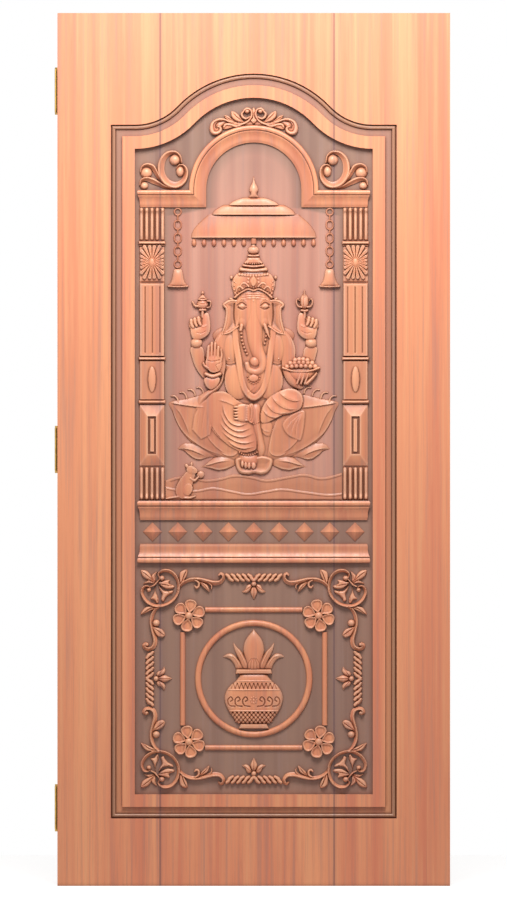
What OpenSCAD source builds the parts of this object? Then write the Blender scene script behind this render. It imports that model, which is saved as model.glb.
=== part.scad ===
// Carved temple door leaf: three joined boards, planted mouldings and relief carving, three butt hinges.
// X runs to the right seen from the front, the carved front faces -Y and Z is up.
// The origin is the middle of the leaf's bottom edge.

/* [Leaf] */
// Width of the leaf
leaf_w = 914; // [860:1:1000]
// Height of the leaf
leaf_h = 2032; // [1980:1:2300]
// Thickness of the leaf
leaf_t = 40; // [36:1:60]
// Width of the left board
left_board_w = 239; // [225:1:260]
// Width of the right board
right_board_w = 270; // [225:1:290]
// Thickness of the tongues between the boards
tongue_t = 10; // [6:0.5:14]
// Length of the tongues
tongue_l = 12; // [6:0.5:20]
// Clearance round each tongue
tongue_fit = 0.2; // [0.1:0.05:0.5]

/* [Panel] */
// Plain border from the leaf's side edge to the panel moulding
border_w = 124; // [100:1:140]
// Plain border from the leaf's bottom edge to the panel moulding
bottom_border = 157; // [120:1:180]
// Distance from the leaf's top to the moulding's shoulder
shoulder_drop = 260; // [240:1:280]
// Distance from the leaf's top to the moulding's crown
crown_drop = 141; // [120:1:160]
// Part of the ogee's two radii that the crown takes, the rest being the flare's
crown_part = 0.497; // [0.45:0.001:0.55]
// Width of the channel that the moulding lies in
moulding_w = 27; // [20:1:32]
// Depth of that channel
channel_d = 10; // [7:0.5:12]
// Width of the flat band between the channel and the recess
band_w = 29; // [22:1:34]
// Depth of the recess that holds the carving
recess_d = 14; // [10:0.5:18]
// Height of the relief over the recess floor
relief = 13; // [9:0.5:17]
// Clearance between neighbouring carved pieces
fit = 0.4; // [0.3:0.1:1]

/* [Arch and cornices] */
// Drop from the recess shoulder to the underside of the capital cornice
cornice_drop = 136; // [125:1:145]
// Height of the capital cornice and width of the arch moulding
cornice_h = 40; // [34:1:44]
// Gap from the recess wall to the end of each cornice
cornice_gap = 6; // [4:0.5:9]
// Inner radius of the arch, as a part of the room that it has under the crown of the recess
arch_part = 0.516; // [0.47:0.001:0.54]
// Height of the two cornices of the middle band
band_cornice_h = 45; // [38:1:52]
// Height of the middle band between its cornices
diamond_band_h = 56; // [50:1:64]
// Number of diamonds in the middle band
diamonds = 9; // [5:1:9]
// Breadth of a diamond, as a part of the pitch of the row
diamond_part = 0.73; // [0.5:0.01:0.8]

/* [Pilasters] */
// Width of a pilaster
pilaster_w = 60; // [52:1:64]
// Gap from the recess wall to a pilaster
pilaster_gap = 10; // [8:0.5:14]
// Height of the reeded base and capital, as a part of the pilaster's height
reed_part = 0.111; // [0.09:0.001:0.12]
// Number of reeds side by side
reeds = 5; // [4:1:6]
// Height of the faceted block over the base, as a part of the pilaster's height
block_part = 0.208; // [0.18:0.001:0.22]
// Height of the oval panel, as a part of the pilaster's height
oval_part = 0.135; // [0.12:0.001:0.15]
// Height of the rosette tile, as a part of the pilaster's height
rosette_part = 0.122; // [0.1:0.001:0.13]
// Height of the thin beads between the parts
bead_h = 10; // [7:0.5:12]
// Petals of a rosette
rosette_petals = 20; // [12:2:20]

/* [Niche] */
// Drop from the capital cornice to the canopy's lower edge
canopy_drop = 68; // [60:1:76]
// Gap between the canopy and the bell chains
canopy_gap = 21; // [16:1:30]
// Height of the canopy with its finial
canopy_h = 141; // [125:1:150]
// Drops hanging from each side of the canopy
canopy_drops = 6; // [4:1:7]
// Length of the pole between canopy and crown
pole_l = 17; // [12:1:24]
// Distance of a bell chain from the pilaster
chain_gap = 30; // [26:1:36]
// Length of a bell chain, as a part of the pilaster's height
chain_part = 0.208; // [0.18:0.001:0.23]
// Height of a bell, as a part of the pilaster's height
bell_part = 0.066; // [0.055:0.001:0.075]
// Gap beside the lotus seat
seat_gap = 9; // [6:0.5:16]
// Height of the foot of the lotus over the middle band
seat_z = 60; // [58:1:70]

/* [Lower panel] */
// Height of the lower panel
lower_panel_h = 538; // [530:1:560]
// Gap from a corner scroll to the recess wall
corner_gap = 12; // [8:0.5:18]
// Length of the rope mouldings between the corner scrolls, as a part of the panel's sides
rope_part = 0.24; // [0.22:0.005:0.3]
// Distance of the rods' axes from the recess wall, as a part of the panel's half side
rod_part = 0.403; // [0.39:0.001:0.415]
// Thickness of the rods
rod_d = 13; // [9:0.5:15]
// Distance of the flowers' centres from the recess wall, as a part of the panel's half side
flower_part = 0.454; // [0.446:0.001:0.475]
// Length of a flower petal from the centre, as a part of the panel's shorter half side
petal_part = 0.141; // [0.126:0.001:0.149]
// Gap between the ring and the rods' axes, as a part of the panel's shorter half side
ring_part = 0.087; // [0.07:0.001:0.119]
// Thickness of the ring
ring_t = 15; // [10:0.5:18]
// Height of the pot with its leaves, as a part of the ring's opening
pot_part = 0.955; // [0.8:0.005:0.96]
// Height of the rope mouldings across
rope_w = 18; // [12:0.5:22]

/* [Hinges] */
// Height of a hinge
hinge_h = 100; // [90:1:120]
// Distance from the leaf's ends to the outer hinges
hinge_end = 180; // [150:1:260]
// Reach of a hinge flap across the leaf's edge
flap_w = 32; // [30:0.5:34]
// Thickness of a hinge flap
flap_t = 2.5; // [2:0.1:3]
// Gap between leaf and door post
post_gap = 3; // [2:0.1:5]
// Radius of the hinge barrel
barrel_r = 6; // [5.5:0.1:6]
// Radius of the hinge pin
pin_r = 3; // [2.5:0.1:3.5]
// Running clearance round the pin
pin_fit = 0.05; // [0.02:0.01:0.1]
// Distance of the pin's axis behind the back of the leaf
pin_back = 6.5; // [6.5:0.1:8]
// Gap between the knuckles of a hinge
knuckle_gap = 0.4; // [0.3:0.1:0.6]
// Radius of the screw holes in the flaps
screw_hole_r = 2.5; // [2.2:0.1:3]
// Radius of a screw head
screw_head_r = 4.2; // [3.8:0.1:4.5]
// Length of a hinge screw
screw_l = 32; // [25:1:40]

/* [Hidden] */
wood = "peru";
stained = "sienna";
metal = "darkgoldenrod";
tiny = 0.01;

front_y = -leaf_t / 2;
back_y = leaf_t / 2;
floor_y = front_y + recess_d;
left_seam = left_board_w - leaf_w / 2;
right_seam = leaf_w / 2 - right_board_w;
tongue_y = (floor_y + back_y) / 2;

// The recess: half width, floor, shoulder and crown
field_hw = leaf_w / 2 - border_w - moulding_w - band_w;
field_z = bottom_border + moulding_w + band_w;
shoulder_z = leaf_h - shoulder_drop - moulding_w - band_w;
crown_z = leaf_h - crown_drop - moulding_w - band_w;
ogee_rise = crown_z - shoulder_z;
// The crown arc and the two flares are tangent, so their radii make up this sum
ogee_sum = (field_hw * field_hw + ogee_rise * ogee_rise) / (2 * ogee_rise);
crown_r = crown_part * ogee_sum;
flare_r = ogee_sum - crown_r;
ogee_angle = acos(field_hw / ogee_sum);
arc_steps = 10;

lower_cornice_z = field_z + lower_panel_h;
diamond_z = lower_cornice_z + band_cornice_h + diamond_band_h / 2;
upper_cornice_z = diamond_z + diamond_band_h / 2;
niche_z = upper_cornice_z + band_cornice_h;
capital_cornice_z = shoulder_z - cornice_drop;
spring_z = capital_cornice_z + cornice_h;
arch_room = min(crown_z - spring_z, 0.776 * field_hw);
arch_r = arch_part * arch_room;
arch_out = arch_r + cornice_h;
cornice_hw = field_hw - cornice_gap;
pilaster_x = field_hw - pilaster_gap - pilaster_w / 2;
niche_hw = field_hw - pilaster_gap - pilaster_w;
pilaster_base = niche_z + fit;
pilaster_top = capital_cornice_z - fit;
pilaster_h = pilaster_top - pilaster_base;
chain_x = niche_hw - chain_gap;
chain_l = chain_part * pilaster_h;
links = 5;
link_h = chain_l / links;
link_r = 0.35 * link_h;
canopy_hw = chain_x - link_r - canopy_gap;
canopy_z = capital_cornice_z - canopy_drop;
lower_mid_z = field_z + lower_panel_h / 2;
lower_panel_hh = lower_panel_h / 2;
short_side = min(field_hw, lower_panel_hh);
rod_x = field_hw * (1 - rod_part);
rod_z = lower_panel_hh * (1 - rod_part);
flower_x = field_hw * (1 - flower_part);
flower_z = lower_panel_hh * (1 - flower_part);
petal_l = petal_part * short_side;

// The bead that the panel moulding shows: across from its outer edge, up from the channel floor
panel_bead = [for (a = [180:-60:0]) [6 + 5 * cos(a), 4 + 5 * sin(a)]];
panel_profile = concat([[0, 0], [0, 4]], panel_bead, [[11, 3], [moulding_w, 3], [moulding_w, 0]]);

// Section of the cornices: down from the top edge in parts of the height, and out from the recess floor
cornice_bead = [for (a = [90:-45:-90]) [0.1 - 0.1 * sin(a), 0.8 + 0.2 * cos(a)]];
cornice_cyma = [for (s = [0:0.25:1]) [0.23 + 0.77 * s, 0.78 - 0.33 * s - 0.1 * sin(360 * s)]];
cornice_section = concat(cornice_bead, cornice_cyma);

// Curves and lofts

// Points of the recess outline moved outwards by off, from the bottom right corner round to the bottom left
function outline(off) = let (
        hw = field_hw + off,
        top = [for (i = [0:2 * arc_steps])
            let (a = ogee_angle + i * (180 - 2 * ogee_angle) / (2 * arc_steps))
            [(crown_r + off) * cos(a), crown_z - crown_r + (crown_r + off) * sin(a)]],
        flare = [for (i = [0:arc_steps - 1])
            let (a = 270 - i * (90 - ogee_angle) / arc_steps)
            [field_hw + (flare_r - off) * cos(a), shoulder_z + flare_r + (flare_r - off) * sin(a)]],
        last = len(flare) - 1
    ) concat(
        [[hw, field_z - off], [hw, shoulder_z + off]],
        flare, top, [for (i = [last:-1:0]) [-flare[i][0], flare[i][1]]],
        [[-hw, shoulder_z + off], [-hw, field_z - off]]
    );

// A value between the ones listed, at the share t of the list
function along(list, t) = let (
        x = t * (len(list) - 1),
        i = min(floor(x), len(list) - 2)
    ) list[i] + (list[i + 1] - list[i]) * (x - i);

function direction(p, i) = let (d = p[min(i + 1, len(p) - 1)] - p[max(i - 1, 0)]) d / norm(d);

function middle(p) = [for (k = [0, 1]) (max([for (q = p) q[k]]) + min([for (q = p) q[k]])) / 2];

function oval(c, rx, ry, sides) = [for (i = [0:sides - 1])
    let (a = i * 360 / sides) c + [rx * cos(a), ry * sin(a)]];

// Twice the area inside an outline, negative where it runs clockwise
function turning(p) = let (
        n = len(p),
        d = [for (i = [0:n - 1]) cross(p[i], p[(i + 1) % n])]
    ) d * [for (x = d) 1];

function anticlockwise(p) = turning(p) > 0 ? p : [for (i = [len(p) - 1:-1:0]) p[i]];

// Solid through a list of rings that all have the same number of points
module loft(rings) {
    m = len(rings[0]);
    n = len(rings);
    sides = [for (i = [0:n - 2], j = [0:m - 1])
        [i * m + j, i * m + (j + 1) % m, (i + 1) * m + (j + 1) % m, (i + 1) * m + j]];
    first = [for (j = [m - 1:-1:0]) j];
    last = [for (j = [0:m - 1]) (n - 1) * m + j];
    polyhedron(points = [for (r = rings) each r], faces = concat(sides, [first, last]), convexity = 6);
}

// Half-round strand along a path, with its radius listed along it
module strand(path, radii, sides = 3, rise = 1) {
    n = len(path) - 1;
    loft([for (i = [0:n]) let (
            d = direction(path, i),
            r = along(radii, i / n)
        ) [for (j = [0:sides]) let (a = j * 180 / sides)
            [path[i][0] + d[1] * r * cos(a), path[i][1] - d[0] * r * cos(a), rise * r * sin(a)]]]);
}

// Raised shape on an outline: steps give the outline's size and height from the top down
module raised(points, h, steps) {
    p = anticlockwise(points);
    c = middle(p);
    loft([for (s = steps) [for (q = p) let (k = c + (q - c) * s[0]) [k[0], k[1], s[1] * h]]]);
}

// Rounded boss, with the part of its height that is a straight edge
module boss(points, h, edge = 0.55) {
    raised(points, h, [[0.5, 1], [1, edge], [1, 0]]);
}

// Leaf with sloping sides
module chip(points, h) {
    raised(points, h, [[0.5, 1], [1, 0]]);
}

// Rounder boss for the large forms
module dome(points, h, edge = 0.3) {
    raised(points, h, [[0.3, 1], [0.7, 0.85], [1, edge], [1, 0]]);
}

// Boss with a raised rim, as on a flower petal
module dish(points, h) {
    raised(points, h, [[0.4, 0.5], [0.85, 1], [1, 0]]);
}

module ball(c, r, h) {
    raised(oval(c, r, r, 7), h, [[0.45, 1], [0.92, 0.6], [1, 0]]);
}

// Half of a turned form lying on the floor: each level has its height, half width and depth
module turned(x, levels, sides = 6) {
    loft([for (v = levels) [for (j = [0:sides]) let (a = j * 180 / sides)
        [x + v[1] * cos(a), v[0], v[2] * sin(a)]]]);
}

// Sets a carving that is drawn on its own grid to its real size, and planes its back to one flat face
module to_size(w, h, d) {
    planed = 0.2;
    reach = 1000;
    resize([w, h, d]) difference() {
        translate([0, 0, -planed]) children();
        translate([-reach / 2, -reach / 2, -reach]) cube(reach);
    }
}

// Lays a drawing on the recess floor: its third direction comes out towards the viewer
module planted(y = floor_y) {
    translate([0, y, 0]) rotate([90, 0, 0]) children();
}

module mirrored(on) {
    mirror([on ? 1 : 0, 0, 0]) children();
}

// Boards

module panel_cuts() {
    planted(floor_y) linear_extrude(recess_d + 1) polygon(outline(0));
    planted(front_y + channel_d) linear_extrude(channel_d + 1) difference() {
        polygon(outline(band_w + moulding_w));
        polygon(outline(band_w));
    }
}

module board(x0, x1) {
    difference() {
        translate([x0, front_y, 0]) cube([x1 - x0, leaf_t, leaf_h]);
        panel_cuts();
    }
}

module tongue(x, side) {
    translate([side > 0 ? x - tiny : x - tongue_l, tongue_y - tongue_t / 2, 0])
        cube([tongue_l + tiny, tongue_t, leaf_h]);
}

module groove(x, side) {
    length = tongue_l + tongue_fit;
    translate([side > 0 ? x - 1 : x - length, tongue_y - tongue_t / 2 - tongue_fit, -1])
        cube([length + 1, tongue_t + 2 * tongue_fit, leaf_h + 2]);
}

module left_board() {
    color(wood) difference() {
        union() {
            board(-leaf_w / 2, left_seam);
            tongue(left_seam, 1);
        }
        each_hinge() {
            flap_pocket();
            screw_pilots();
        }
    }
}

module centre_board() {
    color(wood) difference() {
        board(left_seam, right_seam);
        groove(left_seam, 1);
        groove(right_seam, -1);
    }
}

module right_board() {
    color(wood) union() {
        board(right_seam, leaf_w / 2);
        translate([-tongue_l, 0, 0]) tongue(right_seam, 1);
    }
}

// Panel moulding, mitred at the four corners

// Straight length, with its outer edge on the line x = 0 and its ends cut to mitres
module straight_moulding(length) {
    intersection() {
        translate([0, length / 2, 0]) mirror([1, 0, 0]) rotate([90, 0, 0])
            linear_extrude(length) polygon(panel_profile);
        linear_extrude(leaf_t) polygon([[0, -length / 2], [0, length / 2],
            [-moulding_w, length / 2 - moulding_w], [-moulding_w, moulding_w - length / 2]]);
    }
}

moulding_hw = field_hw + band_w + moulding_w;
moulding_bottom = field_z - band_w - moulding_w;
moulding_side_l = shoulder_z + band_w + moulding_w - moulding_bottom;

module side_moulding(right) {
    color(wood) planted(front_y + channel_d) mirrored(!right)
        translate([moulding_hw, moulding_bottom + moulding_side_l / 2, 0])
            straight_moulding(moulding_side_l);
}

module left_panel_moulding() {
    side_moulding(false);
}

module right_panel_moulding() {
    side_moulding(true);
}

module bottom_panel_moulding() {
    color(wood) planted(front_y + channel_d)
        translate([0, moulding_bottom, 0]) rotate(-90) straight_moulding(2 * moulding_hw);
}

// The top piece follows the ogee from one shoulder to the other
module arched_panel_moulding() {
    rows = [for (q = panel_profile) outline(band_w + moulding_w - q[0])];
    last = len(rows[0]) - 2;
    color(wood) planted(front_y + channel_d) loft([for (i = [1:last])
        [for (k = [0:len(rows) - 1]) [rows[k][i][0], rows[k][i][1], panel_profile[k][1]]]]);
}

// Arch and cornices

// Stack of rectangles: each row gives a level, its left and right ends and its depth
module cornice_loft(rows) {
    planted() loft([for (r = rows)
        [[r[1], r[0], 0], [r[2], r[0], 0], [r[2], r[0], r[3]], [r[1], r[0], r[3]]]]);
}

// Cornice across the whole panel, with returned ends; dir is -1 where it tapers downwards
module band_cornice(z, dir) {
    upwards = [for (i = [len(cornice_section) - 1:-1:0]) cornice_section[i]];
    cornice_loft([for (q = dir < 0 ? upwards : cornice_section)
        let (hw = cornice_hw - relief * (1 - q[1]))
        [z + dir * q[0] * band_cornice_h, -hw, hw, relief * q[1]]]);
}

module upper_band_cornice() {
    color(stained) band_cornice(upper_cornice_z + band_cornice_h - fit, -1);
}

module lower_band_cornice() {
    color(stained) band_cornice(lower_cornice_z + fit, 1);
}

module capital_cornice() {
    cornice_loft([for (i = [len(cornice_section) - 1:-1:0]) let (q = cornice_section[i])
        [spring_z - q[0] * cornice_h, -cornice_hw + relief * (1 - q[1]),
            -arch_out + q[0] * cornice_h, relief * q[1]]]);
}

module left_capital_cornice() {
    color(stained) capital_cornice();
}

module right_capital_cornice() {
    color(stained) mirrored(true) capital_cornice();
}

// The arch follows the same section, with short legs mitred to the cornices
module arch_moulding() {
    steps = 14;
    section = concat([[0, 0]], cornice_section, [[1, 0]]);
    legs = [for (side = [1, -1]) [for (q = section) let (down = q[0] * cornice_h)
        [side * (arch_out - down), spring_z - down, q[1] * relief]]];
    bend = [for (i = [0:steps]) let (a = i * 180 / steps) [for (q = section)
        let (r = arch_out - q[0] * cornice_h) [r * cos(a), spring_z + r * sin(a), q[1] * relief]]];
    color(stained) planted() loft(concat([legs[0]], bend, [legs[1]]));
}

// Small pyramids in a row
module diamond_row() {
    pitch = 2 * cornice_hw / diamonds;
    corners = [[pitch, 0], [0, diamond_band_h], [-pitch, 0], [0, -diamond_band_h]] * diamond_part / 2;
    point = 0.02;
    color(stained) for (i = [0:diamonds - 1])
        planted() translate([(i - (diamonds - 1) / 2) * pitch, diamond_z, 0])
            raised(corners, relief * 0.8, [[point, 1], [1, 0]]);
}

// Pilasters

reed_pitch = pilaster_w / reeds;
backing = 3;
reed_h = reed_part * pilaster_h;
block_h = block_part * pilaster_h;
oval_h = oval_part * pilaster_h;
rosette_h = rosette_part * pilaster_h;
block_z = pilaster_base + reed_h;
lower_bead_z = block_z + block_h;
oval_z = lower_bead_z + bead_h;
upper_bead_z = oval_z + oval_h;
shaft_z = upper_bead_z + bead_h;
capital_z = pilaster_top - reed_h;
abacus_z = capital_z - bead_h;
rosette_z = abacus_z - rosette_h;

module reeded(z) {
    intersection() {
        for (i = [0:reeds - 1])
            translate([(i - (reeds - 1) / 2) * reed_pitch, z, backing]) rotate([-90, 0, 0])
                cylinder(h = reed_h, r = reed_pitch / 2 - 0.6, $fn = 32);
        translate([-pilaster_w / 2, z, backing - tiny]) cube([pilaster_w, reed_h, relief]);
    }
}

module cross_bead(z) {
    intersection() {
        translate([-pilaster_w / 2 - 2, z + bead_h / 2, backing]) rotate([0, 90, 0])
            cylinder(h = pilaster_w + 4, r = bead_h / 2, $fn = 32);
        translate([-pilaster_w, z, 0]) cube([2 * pilaster_w, bead_h, relief]);
    }
}

module faceted_block() {
    slot_w = pilaster_w * 0.34;
    slot_h = block_h - pilaster_w * 0.8;
    mid = block_z + block_h / 2;
    hw = pilaster_w / 2;
    slot_d = 3;
    block_top = relief - 2;
    block_edge = backing + 2;
    hh = block_h / 2;
    levels = [[slot_w / 2, slot_h / 2, block_top], [hw, hh, block_edge], [hw, hh, backing - tiny]];
    difference() {
        loft([for (s = levels) [for (c = [[-1, -1], [1, -1], [1, 1], [-1, 1]])
            [c[0] * s[0], mid + c[1] * s[1], s[2]]]]);
        translate([-slot_w / 4, mid - slot_h / 2 + slot_w / 4, block_top - slot_d])
            cube([slot_w / 2, slot_h - slot_w / 2, relief]);
    }
}

module fluted_shaft() {
    flute_r = 2;
    length = rosette_z - shaft_z;
    difference() {
        translate([-pilaster_w / 2, shaft_z, backing - tiny]) cube([pilaster_w, length, relief * 0.4]);
        for (i = [-1, 0, 1])
            translate([i * pilaster_w / 4, shaft_z + bead_h, backing + relief * 0.4]) rotate([-90, 0, 0])
                cylinder(h = length - 2 * bead_h, r = flute_r, $fn = 24);
    }
}

module oval_panel() {
    mid = [0, oval_z + oval_h / 2];
    translate([-pilaster_w / 2, oval_z, backing - tiny]) cube([pilaster_w, oval_h, relief * 0.4]);
    translate([0, 0, backing + relief * 0.4 - 1])
        boss(oval(mid, pilaster_w * 0.15, oval_h * 0.35, 16), relief * 0.4, 0.3);
}

module pilaster() {
    translate([-pilaster_x, 0, 0]) union() {
        translate([-pilaster_w / 2, pilaster_base, 0])
            cube([pilaster_w, pilaster_top - pilaster_base, backing]);
        reeded(pilaster_base);
        reeded(capital_z);
        for (z = [lower_bead_z, upper_bead_z, abacus_z]) cross_bead(z);
        faceted_block();
        oval_panel();
        fluted_shaft();
    }
}

module left_pilaster() {
    color(stained) planted() pilaster();
}

module right_pilaster() {
    color(stained) planted() mirrored(true) pilaster();
}

// Tile of pointed petals round an oval eye, set on the pilaster
module rosette() {
    hw = pilaster_w / 2 - 1;
    hh = rosette_h / 2 - 1;
    mid = [-pilaster_x, rosette_z + rosette_h / 2, backing];
    translate(mid) to_size(2 * hw, 2 * hh, relief - backing) union() {
        for (i = [0:rosette_petals - 1]) let (
                a = i * 360 / rosette_petals,
                reach = min(hw / max(abs(cos(a)), tiny), hh / max(abs(sin(a)), tiny)),
                slope = tan(170 / rosette_petals)
            ) strand([for (s = [7, 0.7 * reach, reach]) [cos(a), sin(a)] * s],
                [7 * slope, 0.7 * reach * slope, 1.5], 2, 0.8);
        boss(oval([0, 0], 9, 12, 12), 10, 0.6);
    }
}

module left_rosette() {
    color(stained) planted() rosette();
}

module right_rosette() {
    color(stained) planted() mirrored(true) rosette();
}

// Scrollwork over the cornices

// Left spandrel scroll, on a grid with its left foot at the origin
module spandrel_drawing() {
    strand([[112, 90], [98, 97], [80, 88], [69, 70], [68, 50], [75, 32], [88, 18], [104, 12], [121, 17],
        [132, 34], [133, 52], [125, 62], [114, 58]], [4, 5, 7, 8, 8, 8, 7, 6, 5, 4], 2, 1.2);
    ball([104, 77], 14, 14);
    ball([117, 47], 11, 12);
    strand([[13, 50], [18, 59], [31, 63], [43, 58], [50, 47], [57, 34], [68, 20]], [4, 5, 6, 6, 3], 2, 1.2);
    ball([27, 45], 17, 13);
    strand([[11, 17], [17, 25], [28, 27], [45, 23], [63, 12], [88, 4]], [4, 5, 6, 6, 3], 2, 1.2);
    ball([20, 12], 12, 12);
}

scroll_gap = 4;
scroll_w = cornice_hw - scroll_gap - arch_out - fit;
scroll_h = shoulder_z - spring_z - scroll_gap;

module spandrel_scroll() {
    translate([-cornice_hw + scroll_gap, spring_z + fit, 0])
        to_size(scroll_w, scroll_h, relief) translate([-8, 0, 0]) spandrel_drawing();
}

module left_spandrel_scroll() {
    color(stained) planted() spandrel_scroll();
}

module right_spandrel_scroll() {
    color(stained) planted() mirrored(true) spandrel_scroll();
}

// Half of the crest, on a grid with the arch's centre line at zero
module crest_drawing() {
    strand([[-23, 23], [-36, 26], [-47, 30], [-56, 31], [-65, 25], [-68, 15], [-63, 7], [-56, 9],
        [-54, 15]], [2.5, 3, 3, 4, 5, 5, 4, 3, 2], 2);
    strand([[-38, 21], [-21, 23], [-11, 28], [-5, 37], [-6, 46], [-12, 49], [-16, 44], [-12, 39]],
        [2.5, 3, 3, 3, 3, 3, 2.5, 2], 2);
    strand([[-20, 41], [-18, 34], [-11, 32], [-6, 36]], [2, 2.5, 2.5, 2], 2);
    chip([[-35, 43], [-34, 32], [-27, 25], [-18, 25], [-22, 34], [-27, 41]], 6);
    chip([[-47, 37], [-45, 30], [-38, 24], [-29, 23], [-34, 30], [-38, 36]], 5);
}

// The crest sits astride the crown of the arch
crest_hw = 0.69 * arch_out;
crest_h = 0.307 * arch_room;
crest_hang = 0.3 * crest_h;

module crest() {
    color(stained) planted() translate([0, spring_z + arch_out - crest_hang, 0])
        to_size(2 * crest_hw, crest_h, relief) translate([0, -3, 0]) {
            crest_drawing();
            mirrored(true) crest_drawing();
            boss([[0, 50], [-2.5, 47], [-1.5, 34], [-5, 26], [0, 23.5], [5, 26], [1.5, 34], [2.5, 47]], 6);
        }
}

// Canopy, chains and bells

module canopy() {
    drop_pitch = canopy_hw / (canopy_drops + 0.3);
    drop_r = drop_pitch * 0.25;
    pole_w = 12;
    color(stained) planted() translate([0, canopy_z, 0]) {
        to_size(2 * canopy_hw, canopy_h, relief) union() {
            turned(0, [[0, 100, 9], [2, 100, 10], [14, 84, 9], [22, 68, 7]], 8);
            turned(0, [[21, 67, 9], [24, 67, 9], [29, 52, 7], [32, 42, 6]], 8);
            turned(0, [[31, 40, 8], [33, 40, 8], [37, 28, 6], [40, 10, 5]]);
            turned(0, [[39, 6, 4], [41, 6, 4], [45, 7, 6], [50, 7.5, 6], [56, 3, 3], [62, 0.6, 1]]);
        }
        for (side = [-1, 1], i = [1:canopy_drops])
            translate([side * i * drop_pitch, -fit - drop_r, 0])
                cylinder(h = relief * 0.5, r1 = drop_r, r2 = drop_r / 2, $fn = 6);
        translate([-pole_w / 2, -pole_l, 0]) cube([pole_w, pole_l - fit, relief * 0.5]);
    }
}

wire = link_r / 2;

module link_outline(r) {
    for (z = [-1, 1]) translate([0, z * (link_h / 2 - link_r)]) circle(r, $fn = 32);
    square([2 * r, link_h - 2 * link_r], center = true);
}

// Flat links in the plane of the door, joined by links seen from their edge
module chain() {
    top = capital_cornice_z - 2 * fit;
    translate([-chain_x, top, 0]) {
        for (i = [0:links - 1])
            translate([0, -(i + 0.5) * link_h, 0]) linear_extrude(relief * 0.35) difference() {
                link_outline(link_r);
                link_outline(link_r - wire);
            }
        for (i = [1:links - 1]) translate([-wire / 2, -i * link_h - link_h * 0.3, 0])
            cube([wire, link_h * 0.6, relief * 0.5]);
    }
}

module left_chain() {
    color(stained) planted() chain();
}

module right_chain() {
    color(stained) planted() mirrored(true) chain();
}

module bell() {
    bell_h = bell_part * pilaster_h;
    translate([-chain_x, capital_cornice_z - chain_l - 3 * fit - bell_h, 0])
        to_size(1.8 * chain_gap, bell_h, relief * 0.8)
            turned(0, [[0, 24, 9], [3, 24, 10], [8, 19, 9], [20, 14, 8], [34, 11, 7], [41, 8, 5],
                [44, 2, 2]], 8);
}

module left_bell() {
    color(stained) planted() bell();
}

module right_bell() {
    color(stained) planted() mirrored(true) bell();
}

// Seated figure on its lotus, on a grid with the foot of the lotus at zero

module lotus_half() {
    boss([[-86, 72], [-82, 52], [-68, 34], [-40, 20], [-21, 17], [-34, 30], [-54, 44], [-72, 61]], 7);
    boss([[-78, 27], [-64, 18], [-46, 14], [-33, 16], [-48, 25], [-64, 33]], 5);
    boss([[-54, 20], [-44, 8], [-30, 5], [-20, 10], [-20, 20], [-38, 25]], 7);
    for (c = [[-80, 79], [-70, 82], [-63, 85]])
        translate(c) cylinder(h = 3, r1 = 2.8, r2 = 1, $fn = 5);
}

module lotus_drawing() {
    lotus_half();
    mirrored(true) lotus_half();
    boss([[-18, 22], [-19, 12], [-10, 3], [0, 0], [10, 3], [19, 12], [18, 22], [0, 24]], 8);
}

module legs_drawing() {
    strand([[-8, 78], [-28, 75], [-45, 70]], [12, 13, 11], 4, 0.7);
    strand([[-45, 73], [-40, 58], [-26, 43], [-8, 30]], [9, 12, 12, 8], 4, 0.7);
    strand([[8, 79], [30, 79], [44, 76]], [11, 12, 10], 4, 0.8);
    strand([[46, 73], [22, 66], [-6, 64]], [9, 9, 6], 4, 0.9);
    boss([[-25, 62], [-14, 58], [-4, 60], [-4, 69], [-14, 70], [-24, 67]], 10);
    boss([[-16, 24], [0, 21], [10, 25], [8, 32], [-3, 34], [-15, 31]], 9);
    boss([[22, 65], [26, 50], [34, 34], [50, 38], [54, 54], [40, 64]], 6);
    boss([[-46, 62], [-56, 35], [-40, 37], [-26, 50]], 6);
}

module arm_pair() {
    strand([[-24, 126], [-52, 106]], [9, 9]);
    strand([[-51, 104], [-60, 126], [-56, 145]], [9, 7, 5]);
    boss(oval([-55, 149], 7, 8, 8), 8);
    strand([[-20, 116], [-45, 86]], [9, 8]);
    strand([[-45, 85], [-43, 108]], [8, 5.5]);
}

module held_things() {
    turned(-53, [[154, 4, 3], [162, 9, 6], [169, 9.5, 7], [175, 6, 5], [178, 7, 5], [182, 2, 2]], 5);
    turned(52, [[152, 3, 3], [162, 8, 6], [170, 9, 7], [178, 6, 5], [184, 1, 2]], 5);
    boss([[-49, 110], [-42, 105], [-35, 111], [-33, 119], [-35, 130], [-41, 135], [-48, 130],
        [-50, 118]], 9);
    turned(48, [[92, 6, 5], [98, 13, 9], [105, 18, 11], [108, 19, 11], [114, 11, 8], [118, 2, 3]], 5);
}

module head_drawing() {
    dome(oval([0, 162], 19, 24, 12), 11.3);
    for (side = [-1, 1]) mirrored(side > 0)
        boss([[-32, 171], [-29, 156], [-34, 141], [-24, 144], [-13, 149], [-13, 174], [-22, 176]], 8);
    strand([[0, 167], [0, 149], [2, 131], [5, 115]], [9, 10, 9, 6], 4, 1.3);
    strand([[6, 119], [3, 109], [-4, 107], [-8, 112], [-6, 119]], [4.5, 4.5, 4, 3.5, 3], 3, 2);
    strand([[9, 153], [14, 144], [16, 140]], [3, 2.5, 1], 2, 3);
    turned(0, [[170, 19, 8], [178, 22.5, 10], [190, 23, 11], [199, 18, 9], [204, 14, 9], [209, 15, 9],
        [211, 10, 7], [217, 9, 7], [222, 6, 5], [228, 5.5, 4], [231, 1, 1.5]]);
}

module figure_drawing() {
    legs_drawing();
    dome(oval([-1, 92], 29, 22, 12), 12);
    dome(oval([0, 122], 32, 20, 12), 9);
    arm_pair();
    mirrored(true) arm_pair();
    held_things();
    head_drawing();
}

figure_top = canopy_z - pole_l - fit;
figure_base = niche_z + seat_z;

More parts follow.
